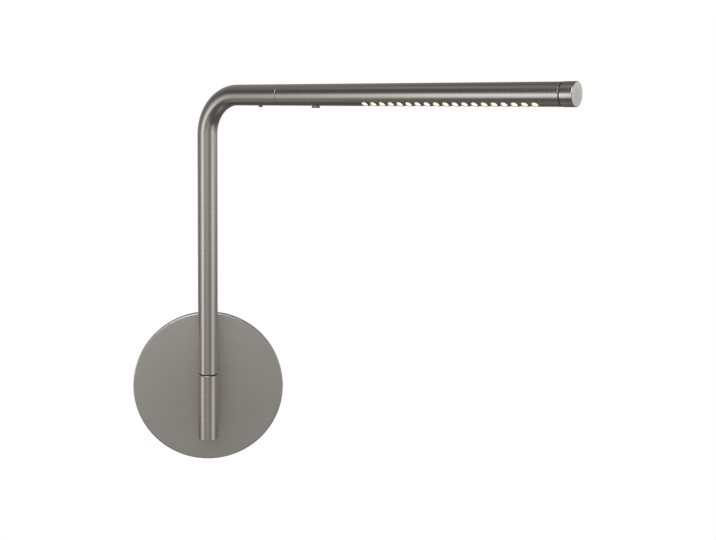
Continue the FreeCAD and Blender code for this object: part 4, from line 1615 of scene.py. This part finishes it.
@dataclass(frozen=True)
class ButtonSwitch(SubAssembly):
    """Round push button under the near end of the head, with what it works.

    Its heights are below the head's axis.
    """

    radius: float = 3.15         # of the part that shows
    rim_edge: float = 0.15
    neck_radius: float = 2.75
    neck_end: float = 8.45
    neck_edge: float = 0.1
    face: float = 9.6
    face_edge: float = 0.35
    dish: Span = (1.6, 1.9)       # radius of its floor and its rim
    dish_depth: float = 0.12
    dish_edge: float = 0.3
    flange: Span = (11.0, 6.6)    # its length along the arm and its width
    flange_ends: Span = (4.845, 5.845)
    flange_edge: float = 0.25
    post_radius: float = 1.5
    post_top: float = 3.4
    post_edge: float = 0.2
    steps: int = 64
    spring_radius: float = 2.4   # of the coil, to the middle of the wire
    spring_ends: Span = (1.775, 4.57)
    spring_turns: float = 2.5
    spring_keep: float = 0.68    # share of its height that is left when the button is in
    wire_radius: float = 0.225
    wire_sides: int = 10
    wire_steps: int = 100

    def build(self) -> None:
        """Draw the button and its spring, and dress the switch pieces."""
        self._draw_button()
        self._draw_spring()
        self.finishes.dress({"button_guide": "black_nylon", "tact_switch": "black_nylon"})

    def _draw_button(self) -> None:
        """Draw the waisted button head, with its flange and post inside the tube."""
        skin = Skin()
        middle = sum(self.flange_ends) / 2
        dish_floor, dish_rim = self.dish
        dished = self.face - self.dish_depth
        turn_on(skin, BUTTON_STAND, [
            (self.post_top, 0.0), (self.post_top, self.post_radius, self.post_edge),
            (middle, self.post_radius), (middle, self.neck_radius),
            (self.neck_end, self.neck_radius, self.neck_edge),
            (self.neck_end, self.radius, self.rim_edge), (self.face, self.radius, self.face_edge),
            (self.face, dish_rim, self.dish_edge), (dished, dish_floor, self.dish_edge),
            (dished, 0.0)], self.steps)
        length, width = self.flange
        slab_on(skin, BUTTON_STAND, self.flange_ends, (length / 2, width / 2), self.flange_edge)
        # the button's nickel is darkened as painted shade
        self.keep(skin, "button_head", "nickel_painted_shade", "button", "satin_nickel", "push_button")

    def _draw_spring(self) -> None:
        """Draw the return spring."""
        skin = Skin()
        stand, (high, low) = BUTTON_STAND, self.spring_ends
        whole = 2 * math.pi * self.spring_turns
        rise = (low - high) / whole
        turns = [2 * math.pi * side / self.wire_sides for side in range(self.wire_sides)]
        rings, ways = [], []
        for k in range(self.wire_steps + 1):
            angle = whole * k / self.wire_steps
            centre = stand.place(low - rise * angle, self.spring_radius, angle)
            out = stand.outward(angle)
            way = stand.outward(angle + math.pi / 2) * self.spring_radius - stand.axis * rise
            ways.append(way.normalized())
            across = ways[-1].cross(out)
            leans = [out * math.cos(turn) + across * math.sin(turn) for turn in turns]
            rings.append(Ring([skin.point(centre + lean * self.wire_radius, centre)
                               for lean in leans], leans))
        skin.strips(rings)
        for ring, way in ((rings[0], -ways[0]), (rings[-1], ways[-1])):
            skin.face(ring.points, [way] * self.wire_sides)
        spring = self.keep(skin, "return_spring", "spring_steel", "head", "bright_steel",
                           "button_spring")
        seat = stand.place(high - self.wire_radius, 0.0, 0.0) * MM
        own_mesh(spring)


# ------------------------------------------------------------------ studio

@dataclass(frozen=True)
class Glow:
    """Soft patch of the studio dome: its middle and spread in degrees, and the level it adds."""

    bearing: float               # to the right of the way from the pivot to the camera
    height: float                # above level
    spread: float
    rise: float
    level: float

    def at(self, bearing: float, height: float) -> float:
        """Level that the patch adds in a direction.

        Args:
            bearing: the direction's bearing in degrees.
            height: its height in degrees.

        Returns:
            The level.
        """
        aside = ((bearing - self.bearing + 180.0) % 360.0 - 180.0) / self.spread
        above = (height - self.height) / self.rise
        return self.level * math.exp(-(aside ** 2 + above ** 2) / 2)


ALL_ROUND = 10000.0          # spread of a patch that goes round the dome


@dataclass(frozen=True)
class Dome:
    """Studio dome that only reflections see: dim, with a soft window on either side."""

    centre: tuple[float, float, float] = (0.0, -0.028, 0.1)
    radius: float = 1.8
    dim: float = 0.09
    brightest: float = 1.4
    step: int = 3                # degrees between its points
    glows: tuple[Glow, ...] = (
        Glow(0.0, -3.0, ALL_ROUND, 13.0, 0.17),       # walls near eye level
        Glow(0.0, -60.0, ALL_ROUND, 28.0, 0.04),      # floor
        Glow(0.0, -88.0, ALL_ROUND, 11.0, 0.25),      # and its lit middle
        Glow(0.0, 89.0, ALL_ROUND, 9.0, 0.15),        # ceiling
        Glow(-94.0, 64.0, 22.0, 9.0, 0.23),           # and a lit strip of it
        Glow(-160.0, 42.0, 34.0, 16.0, 0.25),         # back wall
        Glow(180.0, 12.0, 50.0, 10.0, 0.16),          # and its lit lower half
        Glow(-155.0, -2.0, 7.0, 14.0, 0.40),          # windows behind the light
        Glow(158.0, -2.0, 7.0, 14.0, 0.35),
        Glow(-58.5, 1.0, 11.0, 9.5, 1.00),            # left window
        Glow(-62.0, -15.0, 8.5, 8.0, 0.55),           # its lower half
        Glow(-61.0, -23.0, 9.0, 4.5, 0.25),           # and its sill
        Glow(-82.0, -13.0, 6.5, 13.0, 0.28),          # curtain beside it
        Glow(-86.0, -27.0, 8.0, 8.0, 0.09),           # and its foot
        Glow(-107.0, -43.0, 15.0, 9.0, 0.18),         # floor under it
        Glow(-10.0, -8.0, 17.0, 14.0, 0.21),          # wall behind the photographer
        Glow(-14.0, 9.0, 16.0, 6.0, 0.25),            # its top
        Glow(-10.0, -21.5, 35.0, 2.5, 0.20),          # and its foot
        Glow(62.0, -2.0, 13.0, 11.0, 0.82),           # right window
        Glow(55.0, -21.0, 12.0, 4.0, 0.55),           # and its sill
        Glow(97.0, 0.0, 13.0, 14.0, 0.14),
        Glow(105.0, 11.0, 12.0, 6.0, 0.70),           # lit doorway that the end face sees
    )

    def build(self) -> None:
        """Draw the dome round the light and give each point its level."""
        mesh = bpy.data.meshes.new("dome")
        rows = range(-90 + self.step, 90, self.step)
        turns = range(-180, 180, self.step)
        points, levels = [], []
        for height in rows:
            for bearing in turns:
                points.append(self._place(bearing, height))
                glow = sum(patch.at(bearing, height) for patch in self.glows)
                levels.append((self.dim + glow) / self.brightest)
        wide, last = len(turns), len(turns) * (len(rows) - 1)
        faces = [(row + k, row + (k + 1) % wide, row + wide + (k + 1) % wide, row + wide + k)
                 for row in range(0, last, wide) for k in range(wide)]
        faces += [tuple(range(wide)), tuple(range(last, last + wide))]
        mesh.from_pydata(points, [], faces)
        level = mesh.attributes.new("level", "FLOAT", "POINT")
        level.data.foreach_set("value", levels)
        mesh.materials.append(self._material())
        dome = place_object("dome", mesh)
        for rays in ("camera", "diffuse", "shadow", "transmission"):
            setattr(dome, "visible_" + rays, False)

    def _place(self, bearing: float, height: float) -> Vector:
        """Find a point of the dome.

        Args:
            bearing: its bearing in degrees.
            height: its height in degrees.

        Returns:
            The point.
        """
        turn, lift = math.radians(bearing), math.radians(height)
        level = math.cos(lift)
        way = Vector((math.sin(turn) * level, -math.cos(turn) * level, math.sin(lift)))
        return Vector(self.centre) + way * self.radius

    def _material(self) -> bpy.types.Material:
        """Lay a plain glow at each point's level.

        Returns:
            The material.
        """
        graph = Graph(bpy.data.materials.new("dome"))
        tone = graph.blend(graph.attribute("level"), (0.0, 0.0, 0.0), WHITE)
        graph.owner.cycles.emission_sampling = "NONE"
        glow = graph.wire("Emission", None, {"Color": tone, "Strength": self.brightest})
        return graph.close(glow, "OutputMaterial")


@dataclass(frozen=True)
class Lamp:
    """Soft square lamp that lights either paint or metal, not both."""

    name: str
    place: tuple[float, float, float]
    target: tuple[float, float, float]
    size: float
    watts: float
    for_metal: bool = False

    def build(self) -> None:
        """Hang the lamp and aim it."""
        data = bpy.data.lights.new(self.name, "AREA")
        data.size = self.size
        data.energy = self.watts
        lamp = place_object(self.name, data)
        lamp.location = self.place
        aim = Vector(self.target) - Vector(self.place)
        lamp.rotation_euler = aim.to_track_quat("-Z", "Y").to_euler()
        lamp.visible_glossy = self.for_metal
        lamp.visible_diffuse = not self.for_metal


@dataclass(frozen=True)
class Studio:
    """Pale floor, white world, soft lamps and the dome that metal reflects."""

    floor_height: float = -1.2
    floor_size: float = 3.0
    floor_paint: tuple[Colour, Colour] = ((0.80, 0.80, 0.80), (0.83, 0.83, 0.83))
    floor_roughness: float = 0.85
    plaster: Noise = Noise(60.0, 4.0)
    plaster_depth: float = 0.0002
    plaster_relief: float = 0.2
    fill_level: float = 0.55     # of the world's light, and added to the floor where it is seen

    LAMPS = (
        Lamp("key_lamp", (-1.1, -1.4, 1.3), (0.1, -0.1, 0.1), 0.9, 14.0),
        Lamp("fill_lamp", (1.3, -1.2, 0.7), (0.1, -0.1, 0.1), 0.9, 8.0),
        Lamp("back_lamp", (0.2, 1.4, 1.1), (0.1, -0.1, 0.1), 0.9, 8.0),
        Lamp("soft_box", (-0.262, -1.263, 1.085), (0.0, -0.03, 0.0), 1.5, 20.0, True),
    )

    def build(self) -> None:
        """Lay the floor, colour the world, and set up the dome and the lamps."""
        bpy.context.scene.view_settings.view_transform = "Standard"
        self._colour_world()
        self._lay_floor()
        Dome().build()
        for lamp in self.LAMPS:
            lamp.build()
        log.info("studio: a dome and %d lamps", len(self.LAMPS))

    @staticmethod
    def _seen(graph: Graph) -> Wire:
        """Tell the rays that should see white from the others.

        Args:
            graph: the nodes of the floor or the world.

        Returns:
            1 for camera, glossy and transmission rays, else 0.
        """
        rays = graph.node("LightPath")
        camera, glossy, through = (Wire(graph, rays.outputs["Is " + name + " Ray"])
                                   for name in ("Camera", "Glossy", "Transmission"))
        return graph.wire("Math", {"operation": "MINIMUM"}, {0: camera + glossy + through, 1: 1.0})

    def _colour_world(self) -> None:
        """White where it is seen, and a plain level where it lights."""
        world = bpy.data.worlds.new("studio_world")
        world.cycles.sampling_method = "NONE"
        bpy.context.scene.world = world
        graph = Graph(world)
        tone = graph.blend(self._seen(graph), (self.fill_level,) * 3, WHITE)
        graph.close(graph.wire("Background", None, {"Color": tone, "Strength": 1.0}), "OutputWorld")

    def _lay_floor(self) -> None:
        """Wide pale floor that keeps the light's shadow."""
        half = self.floor_size / 2
        mesh = bpy.data.meshes.new("floor")
        mesh.from_pydata([(x * half, y * half, self.floor_height)
                          for x, y in ((-1, -1), (1, -1), (1, 1), (-1, 1))], [], [range(4)])
        graph, whole = open_material("floor")
        plaster = graph.noise(whole, self.plaster)
        paint = graph.wire("BsdfPrincipled", None, {
            "Base Color": graph.blend(plaster, *self.floor_paint),
            "Roughness": self.floor_roughness,
            "Normal": graph.bump(plaster, self.plaster_depth, self.plaster_relief)})
        glow = graph.wire("Emission", None, {"Color": (*WHITE, 1.0), "Strength": self.fill_level})
        white = graph.wire("AddShader", None, {0: paint, 1: glow})
        mesh.materials.append(graph.close(
            graph.wire("MixShader", None, {0: self._seen(graph), 1: paint, 2: white}),
            "OutputMaterial"))
        floor = place_object("floor", mesh)
        floor.visible_glossy = False      # metal sees the dome's own ground


@dataclass(frozen=True)
class PhotoCamera:
    """Camera at the photograph's place: level with the arm, looking slightly down."""

    place: tuple[float, float, float] = (0.003478, -0.973479, 0.238196)
    look_down: float = math.radians(7.5)
    look_right: float = math.radians(1.0)
    focal_pixels: float = 1184.63
    centre_x: float = 232.572
    centre_y: float = 254.667
    width: int = 716
    height: int = 540
    sensor: float = 36.0         # its width in millimetres
    nearest: float = 0.01

    def build(self) -> None:
        """Set up the camera and make it the scene's."""
        data = bpy.data.cameras.new("photo_camera")
        data.sensor_width = self.sensor
        data.lens = self.focal_pixels / self.width * self.sensor
        data.shift_x = (self.width / 2 - self.centre_x) / self.width
        data.shift_y = (self.centre_y - self.height / 2) / self.width
        data.clip_start = self.nearest
        camera = place_object("photo_camera", data)
        camera.location = self.place
        camera.rotation_euler = (math.pi / 2 - self.look_down, 0.0, -self.look_right)
        bpy.context.scene.camera = camera


def main() -> None:
    """Build the light's sub-assemblies, then the studio and the camera."""
    logging.basicConfig(level=logging.INFO, format="%(name)s: %(message)s")
    finishes = Finishes()
    for kind in (WallPlate, PivotStem, BentArm, LampHead, ButtonSwitch):
        log.info("building %s", kind.__name__)
        kind(finishes).build()
    Studio().build()
    PhotoCamera().build()


if __name__ == "__main__":
    main()
